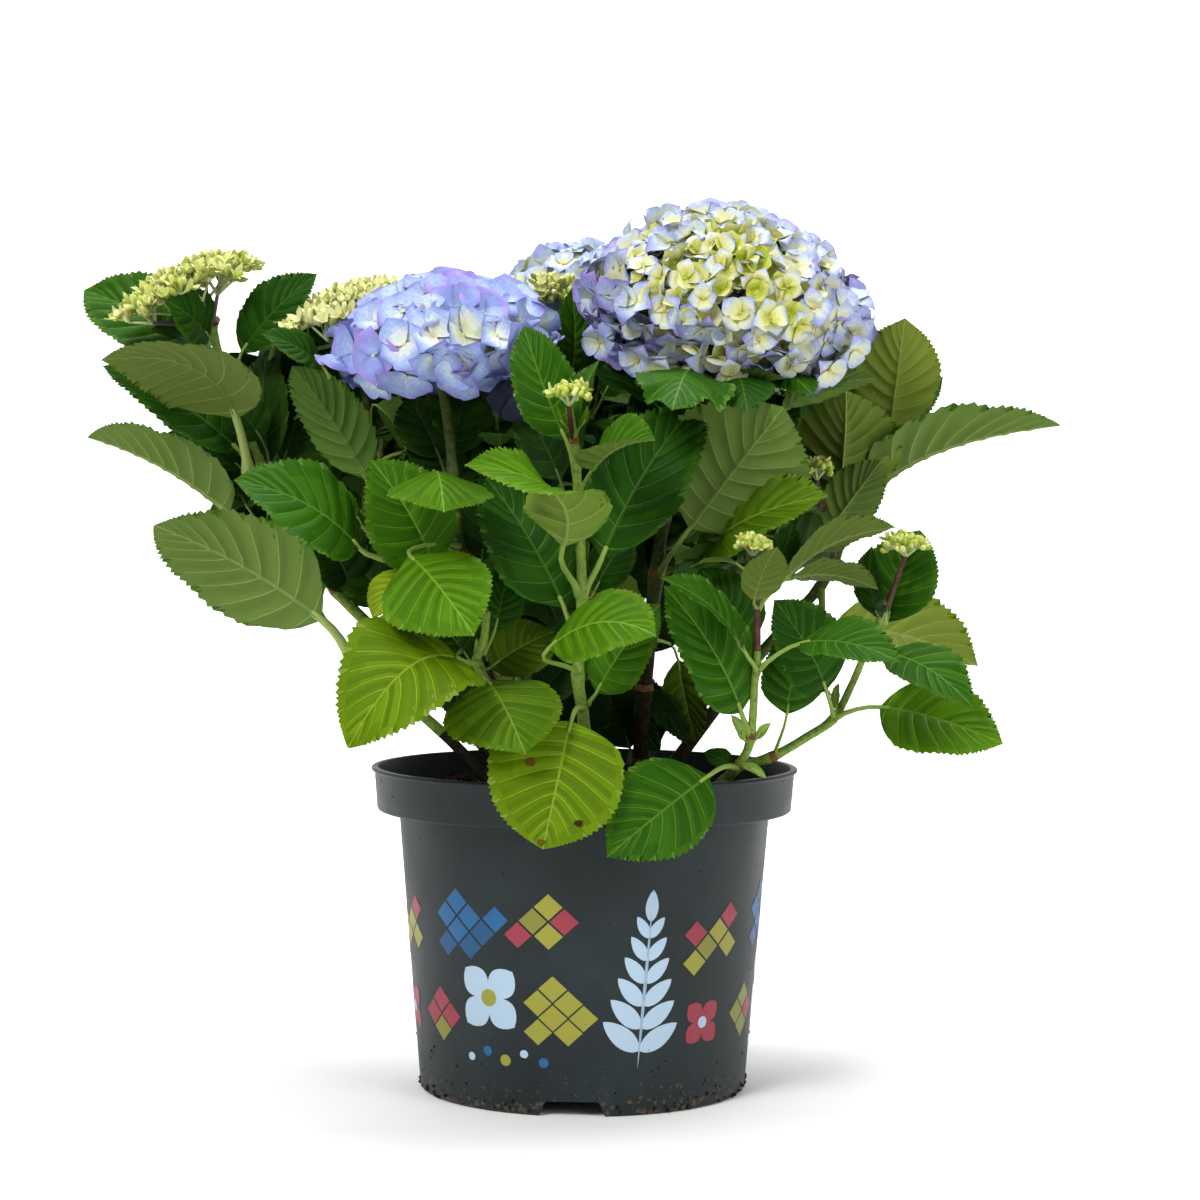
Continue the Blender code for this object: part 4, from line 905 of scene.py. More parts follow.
# leaves laid over the sides and back of each mass, tips outwards and down, where they stay behind the front's foliage
LIMB_POINTS = np.vstack([p[6:] for p in cane_paths.values()] + BOUGHS)
cover_count = 0
for m_index, (m_name, (centre, half, cane, tints, boughs, pairs)) in enumerate(MASSES.items()):
    rng = np.random.default_rng(900 + m_index)
    c, h = np.array(centre) * 0.001, np.array(half) * 0.001
    back = m_name.startswith("mass_back")
    want = 13 if back else 8
    spots = []
    for attempt in range(700):
        if len(spots) >= want:
            break
        d = unit(rng.normal(size=3))
        if d[2] < -0.75 or (d[1] < (-0.45 if back else -0.1)):
            continue
        p = c + d * h * rng.uniform(0.86, 1.0)
        n = unit(d / h)
        if p[1] < -0.045:
            continue
        outside = [m for m, (mc, mh, *_) in MASSES.items() if m != m_name and (((p - np.array(mc) * 0.001) / (np.array(mh) * 0.001)) ** 2).sum() < 0.72]
        if outside or any(np.linalg.norm(p - q) < 0.027 for q in spots):
            continue
        away = np.linalg.norm(LIMB_POINTS - p, axis=1) + np.where(LIMB_POINTS[:, 2] > p[2] + 0.004, 0.05, 0.0) + np.where(((LIMB_POINTS - p) @ n) > -0.004, 0.05, 0.0)
        node = LIMB_POINTS[int(away.argmin())]
        gap = np.linalg.norm(p - node)
        if gap < 0.012 or gap > 0.085:
            continue
        size = rng.uniform(0.062, 0.092)
        way = (p - node) / gap * 0.8 + np.array([0, 0, -0.45]) + rng.normal(0, 0.25, 3)
        way = unit(way - n * (way @ n) * 0.72)
        base = p - way * size * 0.5
        tip = p + way * size * 0.5 - n * size * 0.10
        if np.linalg.norm(base - node) > 0.062 or np.linalg.norm(base - node) < 0.006 or min(base[1], tip[1], node[1]) < -0.060:
            continue
        forward = min(base[1], tip[1], node[1]) < -0.012
        facing = unit(n * 0.9 + np.array([0, 0, 0.55]) + rng.normal(0, 0.15, 3))
        ratio = rng.uniform(0.62, 0.76)
        rough = rough_leaf(base, tip, facing, ratio)
        way_in = line_of(node, base)
        if hidden_share(rough) < 0.995 or not behind(rough) or hidden_share(way_in) < (0.999 if forward else 0.85):
            continue
        if forward and not behind(way_in, 0.006):
            continue
        tint = tints[int(rng.integers(0, len(tints)))]
        direction, span = leaf(INNER, base, tip, facing, ratio, rng.uniform(0.06, 0.14), rng.uniform(5, 16), tint,
                               fine=False, wave=0.014, twist=rng.uniform(-10, 10), seed=int(rng.integers(1 << 30)))
        petiole(STALKS, node, base, direction, 0.0012, STALKS.mat(M_PETIOLE), 6)
        FILLED.append(leaf_ring(base, tip, facing, ratio))
        spots.append(p)
        cover_count += 1
print("covering leaves", cover_count)
# more leaves from the canes, where the middle of the shrub would still show light
middle = cover.copy()
middle[:] = False
keep_cover = cover
cover = middle
fill_shape(INNER_OUTLINE)
inside_mid = cover.copy()
cover = np.zeros_like(inside_mid)
for ring in OUTLINES:
    fill_shape(seen(ring))
for ring in FILLED:
    fill_shape(ring)
blocked, cover = cover, keep_cover
rng = np.random.default_rng(777)
cane_points = np.vstack([p[6:] for p in cane_paths.values()])
extra = 0
for attempt in range(4000):
    ys, xs = np.nonzero(inside_mid & ~blocked)
    if len(ys) < 0.02 * inside_mid.sum() or extra > 105:
        break
    k = int(rng.integers(len(ys)))
    px, py = (xs[k] + 0.5) * GRID, (ys[k] + 0.5) * GRID
    depth = rng.uniform(-0.045, 0.060)
    goal = at(px, py, depth)
    low = goal[2] < 0.235
    inside = [m for m, (mc, mh, *_) in MASSES.items() if (((goal - np.array(mc) * 0.001) / (np.array(mh) * 0.00112)) ** 2).sum() < 1]
    if not inside and not low and rng.random() < 0.6:
        continue
    away = np.linalg.norm(cane_points - goal, axis=1) + np.where(cane_points[:, 2] > goal[2] + 0.005, 0.08, 0.0)
    node = cane_points[int(away.argmin())]
    gap = np.linalg.norm(goal - node)
    if gap > 0.075 or gap < 0.008:
        continue
    d = unit((goal - node) * [1, 1, 0.7])
    size = rng.uniform(0.045, 0.075) if not low else rng.uniform(0.034, 0.050)
    base = goal - d * size * 0.45 + np.array([0, 0, 0.006])
    tip = goal + unit(d + [0, 0, -0.35]) * size * 0.55
    facing = unit(np.array([0, -0.75, 0.75]) + rng.normal(0, 0.25, 3))
    ratio = rng.uniform(0.62, 0.78)
    rough = rough_leaf(base, tip, facing, ratio)
    if hidden_share(rough) < 0.97 or np.linalg.norm(base - node) > 0.06 or not behind(rough, 0.002):
        continue
    # these fill leaves in the shrub's middle are mostly deep-tinted, with darker stalks: painted shade
    tint = "deep" if rng.random() < 0.7 else "dark"
    direction, span = leaf(INNER, base, tip, facing, ratio, rng.uniform(0.05, 0.12), rng.uniform(4, 14), tint, fine=False, wave=0.012, seed=int(rng.integers(1 << 30)))
    petiole(STALKS, node, base, direction, 0.0011, STALKS.mat(M_PETIOLE_SHADE), 6)
    ring = leaf_ring(base, tip, facing, ratio)
    keep_cover, cover = cover, blocked
    fill_shape(ring)
    blocked, cover = cover, keep_cover
    extra += 1
print("filler leaves", filler_count, "extra", extra, "open share", float((inside_mid & ~blocked).sum() / inside_mid.sum()))


# ---------------------------------------------------------------- canes with their joints
for name, path in cane_paths.items():
    old = CANES[name][3]
    radii = cane_radii[name].copy()
    run = np.linspace(0, 1, len(path))
    near = np.full(len(path), 1.0)
    taken = []
    for p in leaf_nodes:
        gap = np.linalg.norm(path - p, axis=1)
        if gap.min() < 0.008 and all(abs(gap.argmin() - k) > 5 for k in taken):
            taken.append(gap.argmin())
            near = np.minimum(near, np.abs(np.arange(len(path)) - gap.argmin()) * 0.0035)
    radii *= 1 + 0.26 * np.exp(-(near / 0.0040) ** 2)
    radii *= 1 + 0.05 * np.array([noise.noise(Vector(p * 90)) for p in path])
    radii *= 1 + 0.5 * np.exp(-run * 60)
    sides = 14
    ribs = np.array([[1 + 0.045 * noise.noise(Vector((p[0] * 30 + 5 * math.cos(a), p[1] * 30 + 5 * math.sin(a), p[2] * 120))) for a in np.linspace(0, 2 * np.pi, sides, endpoint=False)] for p in path])
    green, shade, joint, wood = (STEMS.mat(x) for x in (M_STEM, M_STEM_SHADE, M_NODE, M_WOOD))
    # canes away from the front take the painted shade copy of the stem green
    front = name in ("front", "right", "right_low", "left", "low_left", "far_left")
    mats = np.where((near[:-1] < 0.0014) & (np.arange(len(near) - 1) % 3 != 1), joint, np.where(run[:-1] < old, wood, green if front else shade))
    if name == "right":
        mats = np.where(run[:-1] > 0.66, STEMS.mat(M_RED), mats)
    tube(STEMS, path, radii, sides, mats, ribs=ribs)


# ---------------------------------------------------------------- flowers
BLOOM_CREAM = Store("cream_florets", "cream_florets")
BLOOM_BLUE = Store("blue_florets", "blue_florets")
BUDS = Store("buds", "buds")
PEDICELS = Store("flower_stalks", "stems")
SEP_T = np.array([0.0, .16, .34, .52, .68, .82, .93, 1.0])
SEP_W = np.array([.18, .64, .95, .98, .76, .44, .17, .01])


def ball(store, centre, axis, radius, long, mat, sides=8, rings=5):
    axis = unit(axis)
    side = unit(np.cross(axis, [0.31, 0.77, 0.2]))
    other = np.cross(axis, side)
    lat = np.linspace(-np.pi / 2, np.pi / 2, rings + 1)
    ang = np.linspace(0, 2 * np.pi, sides, endpoint=False)
    verts = [centre - axis * radius * long]
    for a in lat[1:-1]:
        r = radius * math.cos(a)
        verts += list(centre + axis * radius * long * math.sin(a) + side * (r * np.cos(ang))[:, None] + other * (r * np.sin(ang))[:, None])
    verts.append(centre + axis * radius * long)
    faces = []
    last = len(verts) - 1
    for k in range(sides):
        n = (k + 1) % sides
        faces.append((0, 1 + n, 1 + k, -1))
        for j in range(rings - 2):
            a, b = 1 + j * sides, 1 + (j + 1) * sides
            faces.append((a + k, a + n, b + n, b + k))
        top = 1 + (rings - 2) * sides
        faces.append((top + k, top + n, last, -1))
    store.add(np.array(verts), np.array(faces), mat)


def sepal_grid(at_t, at_s):
    t, s = np.meshgrid(at_t, at_s, indexing="ij")
    r, c = np.meshgrid(np.arange(len(at_t) - 1), np.arange(len(at_s) - 1), indexing="ij")
    a = r * len(at_s) + c
    quads = np.stack([a, a + len(at_s), a + len(at_s) + 1, a + 1], -1).reshape(-1, 4)
    tm = (at_t[:-1] + at_t[1:])[r] / 2
    sm = np.abs((at_s[:-1] + at_s[1:])[c] / 2)
    return t, s, quads, tm.reshape(-1), sm.reshape(-1)


GRIDS = {
    "fine": sepal_grid(np.array([0, .13, .28, .42, .55, .67, .78, .88, .95, 1.0]), np.array([-1, -.70, -.40, -.13, .13, .40, .70, 1])),
    "mid": sepal_grid(np.array([0.0, .3, .58, .82, 1.0]), np.array([-1, -.35, .35, 1])),
    "full": sepal_grid(SEP_T, np.array([-1.0, -.6, -.2, .2, .6, 1.0])),
    "tiny": sepal_grid(np.array([0.0, .34, .70, 1.0]), np.array([-1.0, 0.0, 1.0])),
}


def floret(store, centre, normal, spin, size, rng, steps, base, gain, edge=1.2, cup=0.5, reflex=0.15, width=0.62, hollow=0.11,
           eye=None, eye_r=0.0011, sepals=4, grid="full", hollow_to=0.0):
    """One floret of broad pointed sepals, coloured from its throat outwards."""
    S_T, S_S, S_Q, S_TM, S_SM = GRIDS[grid]
    n = unit(normal)
    u = unit(np.cross(n, [0.2, 0.3, 0.93]))
    v = np.cross(n, u)
    verts, faces, mats, off = [], [], [], 0
    ids = [store.mat(m) for m in steps]
    for k in range(sepals):
        a = spin + 2 * np.pi * k / sepals + rng.normal(0, 0.07)
        e = u * math.cos(a) + v * math.sin(a)
        f = -u * math.sin(a) + v * math.cos(a)
        long = size * (1 + rng.normal(0, 0.06))
        w = np.interp(S_T, SEP_T, SEP_W) * width * long * (1 + rng.normal(0, 0.05))
        c = cup * (1 + rng.normal(0, 0.16))
        tilt = math.atan(c)
        along = S_T * long
        rise = long * (c * S_T ** 1.2 - reflex * np.clip(S_T - 0.45, 0, 1) ** 2 * 3)
        flat = along * (1 - 0.22 * c * S_T)
        bowl = long * hollow * (S_S ** 2) * np.interp(S_T, SEP_T, SEP_W) * (1 - 0.6 * S_T)
        p0, p1 = rng.uniform(0, 6.28, 2)
        curl_of = rng.uniform(0.2, 2.4)
        frill = long * 0.035 * np.sin(5 * S_T + 3.2 * S_S + p0) * np.abs(S_S) + long * 0.03 * np.sin(7 * S_T + p1) * S_T
        crease = -long * 0.02 * np.exp(-(S_S / 0.35) ** 2) * (1 - S_T)
        lift = long * (0.07 if k % 2 else 0.0)
        z = rise + bowl + frill + crease + lift - long * 0.16 * np.clip(S_T - 0.72, 0, 1) * curl_of
        p = centre + flat[..., None] * e + (w * S_S)[..., None] * f + z[..., None] * n
        verts.append(p.reshape(-1, 3))
        faces.append(S_Q + off)
        shade = base + gain * S_TM ** 1.15 + edge * S_SM ** 2 * (0.3 + 0.7 * S_TM) + rng.normal(0, 0.4) + rng.normal(0, 0.16 if grid == "fine" else 0.25, len(S_TM))
        mats.append(np.array(ids)[np.clip(np.round(shade), 0, len(ids) - 1).astype(int)])
        off += S_T.size
    store.add(np.vstack(verts), np.vstack(faces), np.concatenate(mats))
    if eye is not None:
        ball(store, centre + n * eye_r * 0.9, n, eye_r, 0.9, store.mat(eye), 7, 4)


def stalk(store, a, b, r0, r1, mat, sides=4, sag=0.0):
    mid = (np.asarray(a) + np.asarray(b)) / 2 + np.array([0, 0, sag])
    path = catmull([a, mid, b], 2 if sides < 6 else 4)
    tube(store, path, np.linspace(r0, r1, len(path)), sides, mat, cap=False)


PEAK = {"great_head": 0.27, "blue_head": 0.04, "back_head": 0.08}
SEAT = {"great_head": (0.952, 2.0, 1.18), "blue_head": (0.885, 2.0, 1.0), "back_head": (0.95, 4.0, 1.0)}


def dome(name, count, rng, low=-0.5, many=5000, inset=0.0):
    """Evenly spread points on a head's dome: directions, places and outward normals."""
    (cx, cy, cz), half, tilt_x, tilt_y, flat = HEADS[name]
    c, half = np.array([cx, cy, cz]) * 0.001, np.array(half) * 0.001 - inset
    d = rng.normal(size=(many, 3))
    d /= np.linalg.norm(d, axis=1)[:, None]
    d = d[d[:, 2] > low]
    scale = np.where(d[:, 2:] < 0, [1, 1, flat], [1, 1, 1])
    local = d * half * scale
    nor = d / (half * scale)
    nor /= np.linalg.norm(nor, axis=1)[:, None]
    keep = [int(rng.integers(len(local)))]
    dist = np.linalg.norm(local - local[keep[0]], axis=1)
    while len(keep) < count:
        k = int(dist.argmax())
        keep.append(k)
        dist = np.minimum(dist, np.linalg.norm(local - local[k], axis=1))
    local, nor, d = local[keep], nor[keep], d[keep]
    local[:, :2] *= 1 - PEAK.get(name, 0.0) * np.clip(d[:, 2:], 0, 1)
    wide, shift, hang = SEAT.get(name, (1.0, 0.0, 1.0))
    local[:, 0] = local[:, 0] * wide + shift * 0.001
    local[:, 2] *= np.where(d[:, 2] < 0, hang, 1.0)
    local[:, 2] += local[:, 0] * math.tan(math.radians(tilt_x)) + local[:, 1] * math.tan(math.radians(tilt_y))
    return c, d, c + local, nor


def stem(a, b):
    """The fine stalk under one floret."""
    mid = (a + b) / 2 + unit(b - a) * 0.0 + np.array([0, 0, -0.0008])
    tube(PEDICELS, np.array([a, mid, b]), np.array([0.0008, 0.0006, 0.0007]), 3, PEDICELS.mat(M_PEDICEL), cap=False)


def bloom(name, store, steps, count, size, rng, base, gain, edge, cup, low, violet, eye, cane, inner=0.3, middle=None, reflex=0.15, width=0.62, jitter=0.25, spread=(0.82, 1.12), tone=None,
          deep=0.006, young=(0.5, 0.8), core=0.35):
    c, d, places, normals = dome(name, count, rng, low)
    hub_n = 9
    (_, half, *_) = HEADS[name]
    foot = cane_paths[cane][-1]
    hubs = []
    for k in range(hub_n):
        a = 2 * np.pi * k / (hub_n - 1)
        w = 0.42 if k else 0.0
        hub = c + np.array([math.cos(a) * w * half[0], math.sin(a) * w * half[1], -0.10 * half[2]]) * 0.001
        hubs.append(hub)
        stalk(PEDICELS, foot, hub, 0.0016, 0.0010, PEDICELS.mat(M_PEDICEL), 6)
    hubs = np.array(hubs)
    for k in range(count):
        n = unit(normals[k] + rng.normal(0, jitter, 3))
        s = size * rng.uniform(*spread)
        b, cp = base + tone(d[k], rng), cup * rng.uniform(0.7, 1.25)
        if d[k][2] > 0.5:
            n = unit(n + np.array([0, -0.75 if name == "blue_head" else -0.5, 0]) * (1.0 if d[k][1] < 0.4 else 0.2))
        if d[k][2] < -0.12:
            n = unit(n + np.array([0, 0, -0.25]))
            b += violet * min(1.0, (-d[k][2] - 0.12) * 3.2)
        if middle is not None:
            m = math.exp(-np.sum((d[k] - middle) ** 2) / 0.30)
            b -= 0.8 * m
            s *= 1 - 0.16 * m
            cp *= 1 + 0.25 * m
        g = max(1.8, gain - 0.62 * (b - base))
        place = places[k] - n * s * cp * 0.62
        front = d[k][1] < 0.25 and name in ("great_head", "blue_head")
        floret(store, place, n, rng.uniform(0, 6.28), s, rng, steps, b, g, edge, cp, reflex, width * rng.uniform(0.9, 1.1), eye=eye,
               grid="fine" if front else "mid" if name == "back_head" or d[k][1] > 0.5 else "full")
        hub = hubs[np.linalg.norm(hubs - place, axis=1).argmin()]
        stem(hub, place)
    # the young florets between, set deeper
    c, d, places, normals = dome(name, int(count * inner), rng, low, inset=deep)
    for k in range(len(places)):
        n = unit(normals[k] + rng.normal(0, 0.3, 3))
        s = size * rng.uniform(*young)
        b = base - 1.3 + 0.75 * max(0.0, tone(d[k], rng)) + rng.normal(0, 0.6) + (violet * 0.8 if d[k][2] < -0.2 else 0)
        floret(store, places[k], n, rng.uniform(0, 6.28), s, rng, steps, b, gain * 0.55, 0.3, 0.75, 0.1, 0.6, grid="mid")
        stem(hubs[np.linalg.norm(hubs - places[k], axis=1).argmin()], places[k])
    # the smallest, deepest and most shaded ones, which close the head
    c, d, places, normals = dome(name, int(count * core), rng, low + 0.1, inset=deep * 2.2)
    for k in range(len(places)):
        n = unit(normals[k] + rng.normal(0, 0.25, 3))
        b = base - 0.4 + 0.8 * max(0.0, tone(d[k], rng)) + rng.normal(0, 0.5)
        floret(store, places[k], n, rng.uniform(0, 6.28), size * rng.uniform(0.80, 0.98), rng, steps, b, gain * 0.5, 0.3, 0.45, 0.1, 0.62, grid="mid")


def great_tone(d, rng):
    """Greener in the middle of the front, then cream, and bluer all round the rim and over the top."""
    far = 1.0 - math.exp(-((d[0] + 0.02) ** 2 + (d[1] + 0.90) ** 2 + (1.7 if d[2] > 0.38 else 0.8) * (d[2] - 0.38) ** 2) / 0.62)
    corner = 2.0 if d[0] < -0.58 and d[2] < 0.10 else 1.3 if d[0] > 0.50 and d[2] < 0.45 else 0.0
    return 3.8 * far - 0.6 + corner + 0.6 * noise.noise(Vector(d * 2.2)) + rng.normal(0, 0.8)


def blue_tone(d, rng):
    pale = 1.0 * math.exp(-((d[0] - 0.10) ** 2 + (d[1] + 0.85) ** 2 + (d[2] - 0.30) ** 2) / 0.20)
    crest = 3.9 if d[2] > 0.50 and -0.05 < d[0] < 0.55 and d[1] > -0.78 else 0.0
    side = 2.4 if -0.90 < d[0] < -0.50 and d[1] < -0.15 and -0.1 < d[2] < 0.5 else 0.0
    return 0.9 - pale + crest + side + rng.normal(0, 0.6)


def pale_tone(d, rng):
    return rng.normal(0, 0.7)


bloom("great_head", BLOOM_CREAM, PETAL["cream"], 200, 0.0134, np.random.default_rng(61), 1.2, 6.2, 1.5, 0.36, -0.80, 0.8, M_EYE, "great_head",
      0.95, np.array([0.0, -0.83, 0.45]), 0.34, 0.46, 0.42, (0.74, 1.18), great_tone, 0.0055, (0.55, 0.86), 0.75)
bloom("blue_head", BLOOM_BLUE, PETAL["blue"], 66, 0.0168, np.random.default_rng(62), 0.55, 5.6, 3.2, 0.38, -0.66, 1.2, M_EYE_BLUE, "blue_head", 0.55,
      reflex=0.22, width=0.56, jitter=0.30, spread=(0.80, 1.12), tone=blue_tone, deep=0.0105, young=(0.45, 0.62), core=0.0)
bloom("back_head", BLOOM_BLUE, PETAL["pale"], 84, 0.0118, np.random.default_rng(63), 1.9, 3.6, 1.6, 0.5, -0.6, 1.0, M_EYE, "back_head", 0.7, reflex=0.3,
      width=0.52, jitter=0.36, tone=pale_tone)
bloom("rear_head", BLOOM_BLUE, PETAL["blue"], 58, 0.0140, np.random.default_rng(64), 1.2, 4.2, 1.2, 0.35, -0.5, 1.5, M_EYE_BLUE, "back_left", 0.5, jitter=0.3,
      tone=pale_tone)
# a few florets that hang lower under the great head
rng = np.random.default_rng(66)
for px, py, lean, b in ((657, 371, -0.2, 4.2), (638, 360, -0.4, 5.0), (731, 374, 0.1, 3.4), (829, 370, 0.5, 4.4), (790, 362, 0.3, 3.6), (852, 350, 0.7, 4.6), (600, 342, -0.6, 5.4)):
    p = at(px, py, -0.060 + 0.030 * lean * lean)
    floret(BLOOM_CREAM, p, np.array([lean, -0.8, -0.55]), rng.uniform(0, 6.28), 0.0120, rng, PETAL["cream"], b - 1.2, 4.4, 1.5, 0.42, 0.30, 0.46, eye=M_EYE, grid="fine")
    stem(at(px + 0.25 * (722 - px), py - 22, -0.02), p)
# one shaded floret that hangs under the blue head
rng = np.random.default_rng(65)
floret(BLOOM_BLUE, at(514, 394, -.078), np.array([0.35, -0.85, -0.45]), 0.6, 0.0165, rng, PETAL["shade"], 0.5, 3.2, 0.8, 0.35, 0.2, 0.6, eye=M_EYE_BLUE, grid="fine")
stem(at(500, 378, -.052), at(512, 396, -.076))


def bud_spray(centre, axis, spread, count, rng, size=0.0016, long=1.5, star=0.0, light=0.0):
    """A cluster of small buds on short stalks."""
    axis = unit(axis)
    side = unit(np.cross(axis, [0.3, 0.2, 0.93]))
    other = np.cross(axis, side)
    for k in range(count):
        a, w = rng.uniform(0, 6.28), math.sqrt(rng.random())
        out = side * math.cos(a) * w + other * math.sin(a) * w
        p = centre + out * spread + axis * spread * (0.55 * (1 - w * w) + rng.uniform(-0.12, 0.12))
        way = unit(axis + out * 0.8)
        stalk(PEDICELS, centre - axis * spread * 0.35, p, 0.0005, 0.0004, PEDICELS.mat(M_PEDICEL), 4)
        if rng.random() < star:
            floret(BUDS, p, way, rng.uniform(0, 6.28), size * rng.uniform(2.0, 3.0), rng, M_BUD, 1.6 + light, 2.2, 0.4, 1.0, 0.05, 0.36, grid="tiny")
        else:
            ball(BUDS, p, way, size * rng.uniform(0.8, 1.15), long, BUDS.mat(M_BUD[int(np.clip(rng.normal(2.2 + light, 1.0), 0, 4))]), 6, 4)


def corymb(name, foot, clusters, buds, rng, node=None, wide=1.0, lean=0.0, shift=0.0, light=0.0, fore=0.0, drop=0.0, root=0.45):
    """A flat young head: rays from one point, each carrying a cluster of buds."""
    (cx, cy, cz), half, tilt_x, tilt_y, flat = HEADS[name]
    c, half = np.array([cx + shift, cy - fore, cz - drop]) * 0.001, np.array(half) * [0.001 * wide, 0.001, 0.001]
    tilt_x += lean
    k = np.arange(clusters) + 0.5
    r, a = np.sqrt(k / clusters), k * 2.39996 + rng.uniform(0, 6.28)
    base = c - np.array([0, 0, 0.030])
    base = base * root + np.asarray(foot) * (1 - root) if np.linalg.norm(base - foot) > 0.02 else base
    stalk(PEDICELS, foot, base, 0.0021, 0.0018, PEDICELS.mat(M_RED if node else M_PEDICEL), 8)
    rays = []
    for j in range(7):
        ang = 2 * np.pi * j / 7
        hub = c + np.array([math.cos(ang) * half[0] * 0.5, math.sin(ang) * half[1] * 0.5, 0])
        hub[2] += (hub[0] - c[0]) * math.tan(math.radians(tilt_x)) + (hub[1] - c[1]) * math.tan(math.radians(tilt_y)) - half[2] * 0.9
        rays.append(hub)
        stalk(PEDICELS, base, hub, 0.0013, 0.0010, PEDICELS.mat(M_PEDICEL_DARK if node else M_PEDICEL), 6)
    rays = np.array(rays)
    for rr, aa in zip(r, a):
        local = np.array([rr * math.cos(aa) * half[0] * 0.94, rr * math.sin(aa) * half[1] * 0.94, half[2] * (0.75 - 0.9 * rr * rr)])
        normal = unit(np.array([local[0] / half[0] ** 1.2, local[1] / half[1] ** 1.2, 0.0]) * 0.03 ** 0.2 * 0.6 + np.array([0, 0, 1.0]))
        local[2] += local[0] * math.tan(math.radians(tilt_x)) + local[1] * math.tan(math.radians(tilt_y))
        p = c + local
        hub = rays[np.linalg.norm(rays - p, axis=1).argmin()]
        stalk(PEDICELS, hub, p - normal * 0.003, 0.0009, 0.0006, PEDICELS.mat(M_PEDICEL), 5)
        bud_spray(p, normal, 0.0062, buds, rng, 0.0021, 2.1, star=0.62, light=light)


corymb("lime_head_left", at(216, 322, -.001), 34, 10, np.random.default_rng(71), node=True, wide=0.96, shift=6, root=0.12)
corymb("lime_head_mid", cane_paths["mid_left"][-1], 38, 10, np.random.default_rng(72), wide=1.0, lean=6, shift=1, light=2.3, fore=30, drop=7)
corymb("rear_lime_head", cane_paths["back_right"][-1], 20, 9, np.random.default_rng(73))
for (px, py, depth), (qx, qy, qd), w, n, seed in (
    ((569, 393, -.130), (572, 437, -.114), 0.0098, 64, 81),
    ((753, 544, -.098), (754, 600, -.096), 0.0088, 60, 82),
    ((906, 545, -.018), (884, 612, -.020), 0.0128, 60, 83),
    ((817, 468, -.004), (826, 520, .030), 0.0090, 36, 84),
):
    top, low = at(px, py, depth), at(qx, qy, qd)
    rng = np.random.default_rng(seed)
    stalk(PEDICELS, low, top - np.array([0, 0, 0.006]), 0.0015, 0.0012, PEDICELS.mat(M_RED), 8)
    for j in range(6):
        a = j * 1.047 + 0.3
        hub = top + np.array([math.cos(a) * w * 0.62, math.sin(a) * w * 0.62, 0.0])
        stalk(PEDICELS, top - np.array([0, 0, 0.006]), hub, 0.0010, 0.0008, PEDICELS.mat(M_PEDICEL), 5)
        bud_spray(hub, unit(np.array([math.cos(a) * 0.7, math.sin(a) * 0.7, 1.0])), w * 0.5, n // 6, rng, 0.0017, 1.2, star=0.06, light=-0.5)
    bud_spray(top + np.array([0, 0, w * 0.25]), np.array([0, 0, 1.0]), w * 0.5, n // 6 + 2, rng, 0.0017, 1.2, star=0.0, light=-0.5)


rng = np.random.default_rng(85)
for px, py, depth in ((536, 294, .050), (546, 287, .048), (556, 291, .046), (566, 286, .048), (574, 292, .050), (550, 299, .050), (563, 300, .050)):
    top = at(px, py, depth)
    stalk(PEDICELS, cane_paths["back_head"][-1], top, 0.0009, 0.0007, PEDICELS.mat(M_PEDICEL), 4)
    bud_spray(top, unit(np.array([rng.uniform(-0.3, 0.3), -0.7, 0.7])), 0.0058, 9, rng, 0.0021, 1.8, star=0.55, light=1.2)


# ---------------------------------------------------------------- pot
LIP_R, LIP_Z, LIP_DEPTH = 0.1150, 0.1731, 0.0022
BAND_TOP_R, BAND_LOW_R, BAND_LOW_Z = 0.1133, 0.1117, 0.1499
BODY_TOP_R, BASE_R, WALL = 0.1000, 0.0877, 0.0020
FLOOR_Z, FLOOR_THICK, FOOT_IN_R, BOSS_R = 0.0105, 0.0025, 0.0790, 0.0350


def body_r(z):
    return BASE_R + (BODY_TOP_R - BASE_R) * z / BAND_LOW_Z


def band_r(z):
    return BAND_LOW_R + (BAND_TOP_R - BAND_LOW_R) * (z - BAND_LOW_Z) / (LIP_Z - LIP_DEPTH - BAND_LOW_Z)


def rounded(profile, sharp=0.0006):
    """The profile with each corner cut by a small curve."""
    out = [profile[0]]
    for a, b, c in zip(profile, profile[1:], profile[2:]):
        a, b, c = map(np.array, (a, b, c))
        ra = min(sharp, np.linalg.norm(a - b) * 0.4)
        rc = min(sharp, np.linalg.norm(c - b) * 0.4)
        p, q = b + unit(a - b) * ra, b + unit(c - b) * rc
        for t in (0.0, 0.3, 0.7, 1.0):
            out.append(tuple(p * (1 - t) ** 2 + b * 2 * t * (1 - t) + q * t ** 2))
    out.append(profile[-1])
    return out


def turned_mesh(name, profile, segments):
    ang = np.linspace(0, 2 * np.pi, segments, endpoint=False)
    verts, rings = [], []
    for r, z in profile:
        rings.append(len(verts))
        if r < 1e-9:
            verts.append((0, 0, z))
        else:
            verts += [(r * math.cos(a), r * math.sin(a), z) for a in ang]
    faces = []
    for i, (low, high) in enumerate(zip(rings, rings[1:])):
        lone, pone = profile[i][0] < 1e-9, profile[i + 1][0] < 1e-9
        for k in range(segments):
            n = (k + 1) % segments
            if lone:
                faces.append((low, high + n, high + k)[::-1] if False else (low, high + k, high + n)[::-1])
            elif pone:
                faces.append((low + k, low + n, high))
            else:
                faces.append((low + k, low + n, high + n, high + k))
    mesh = bpy.data.meshes.new(name)
    mesh.from_pydata(verts, [], faces)
    mesh.shade_smooth()
    obj = bpy.data.objects.new(name, mesh)
    bpy.context.scene.collection.objects.link(obj)
    return obj


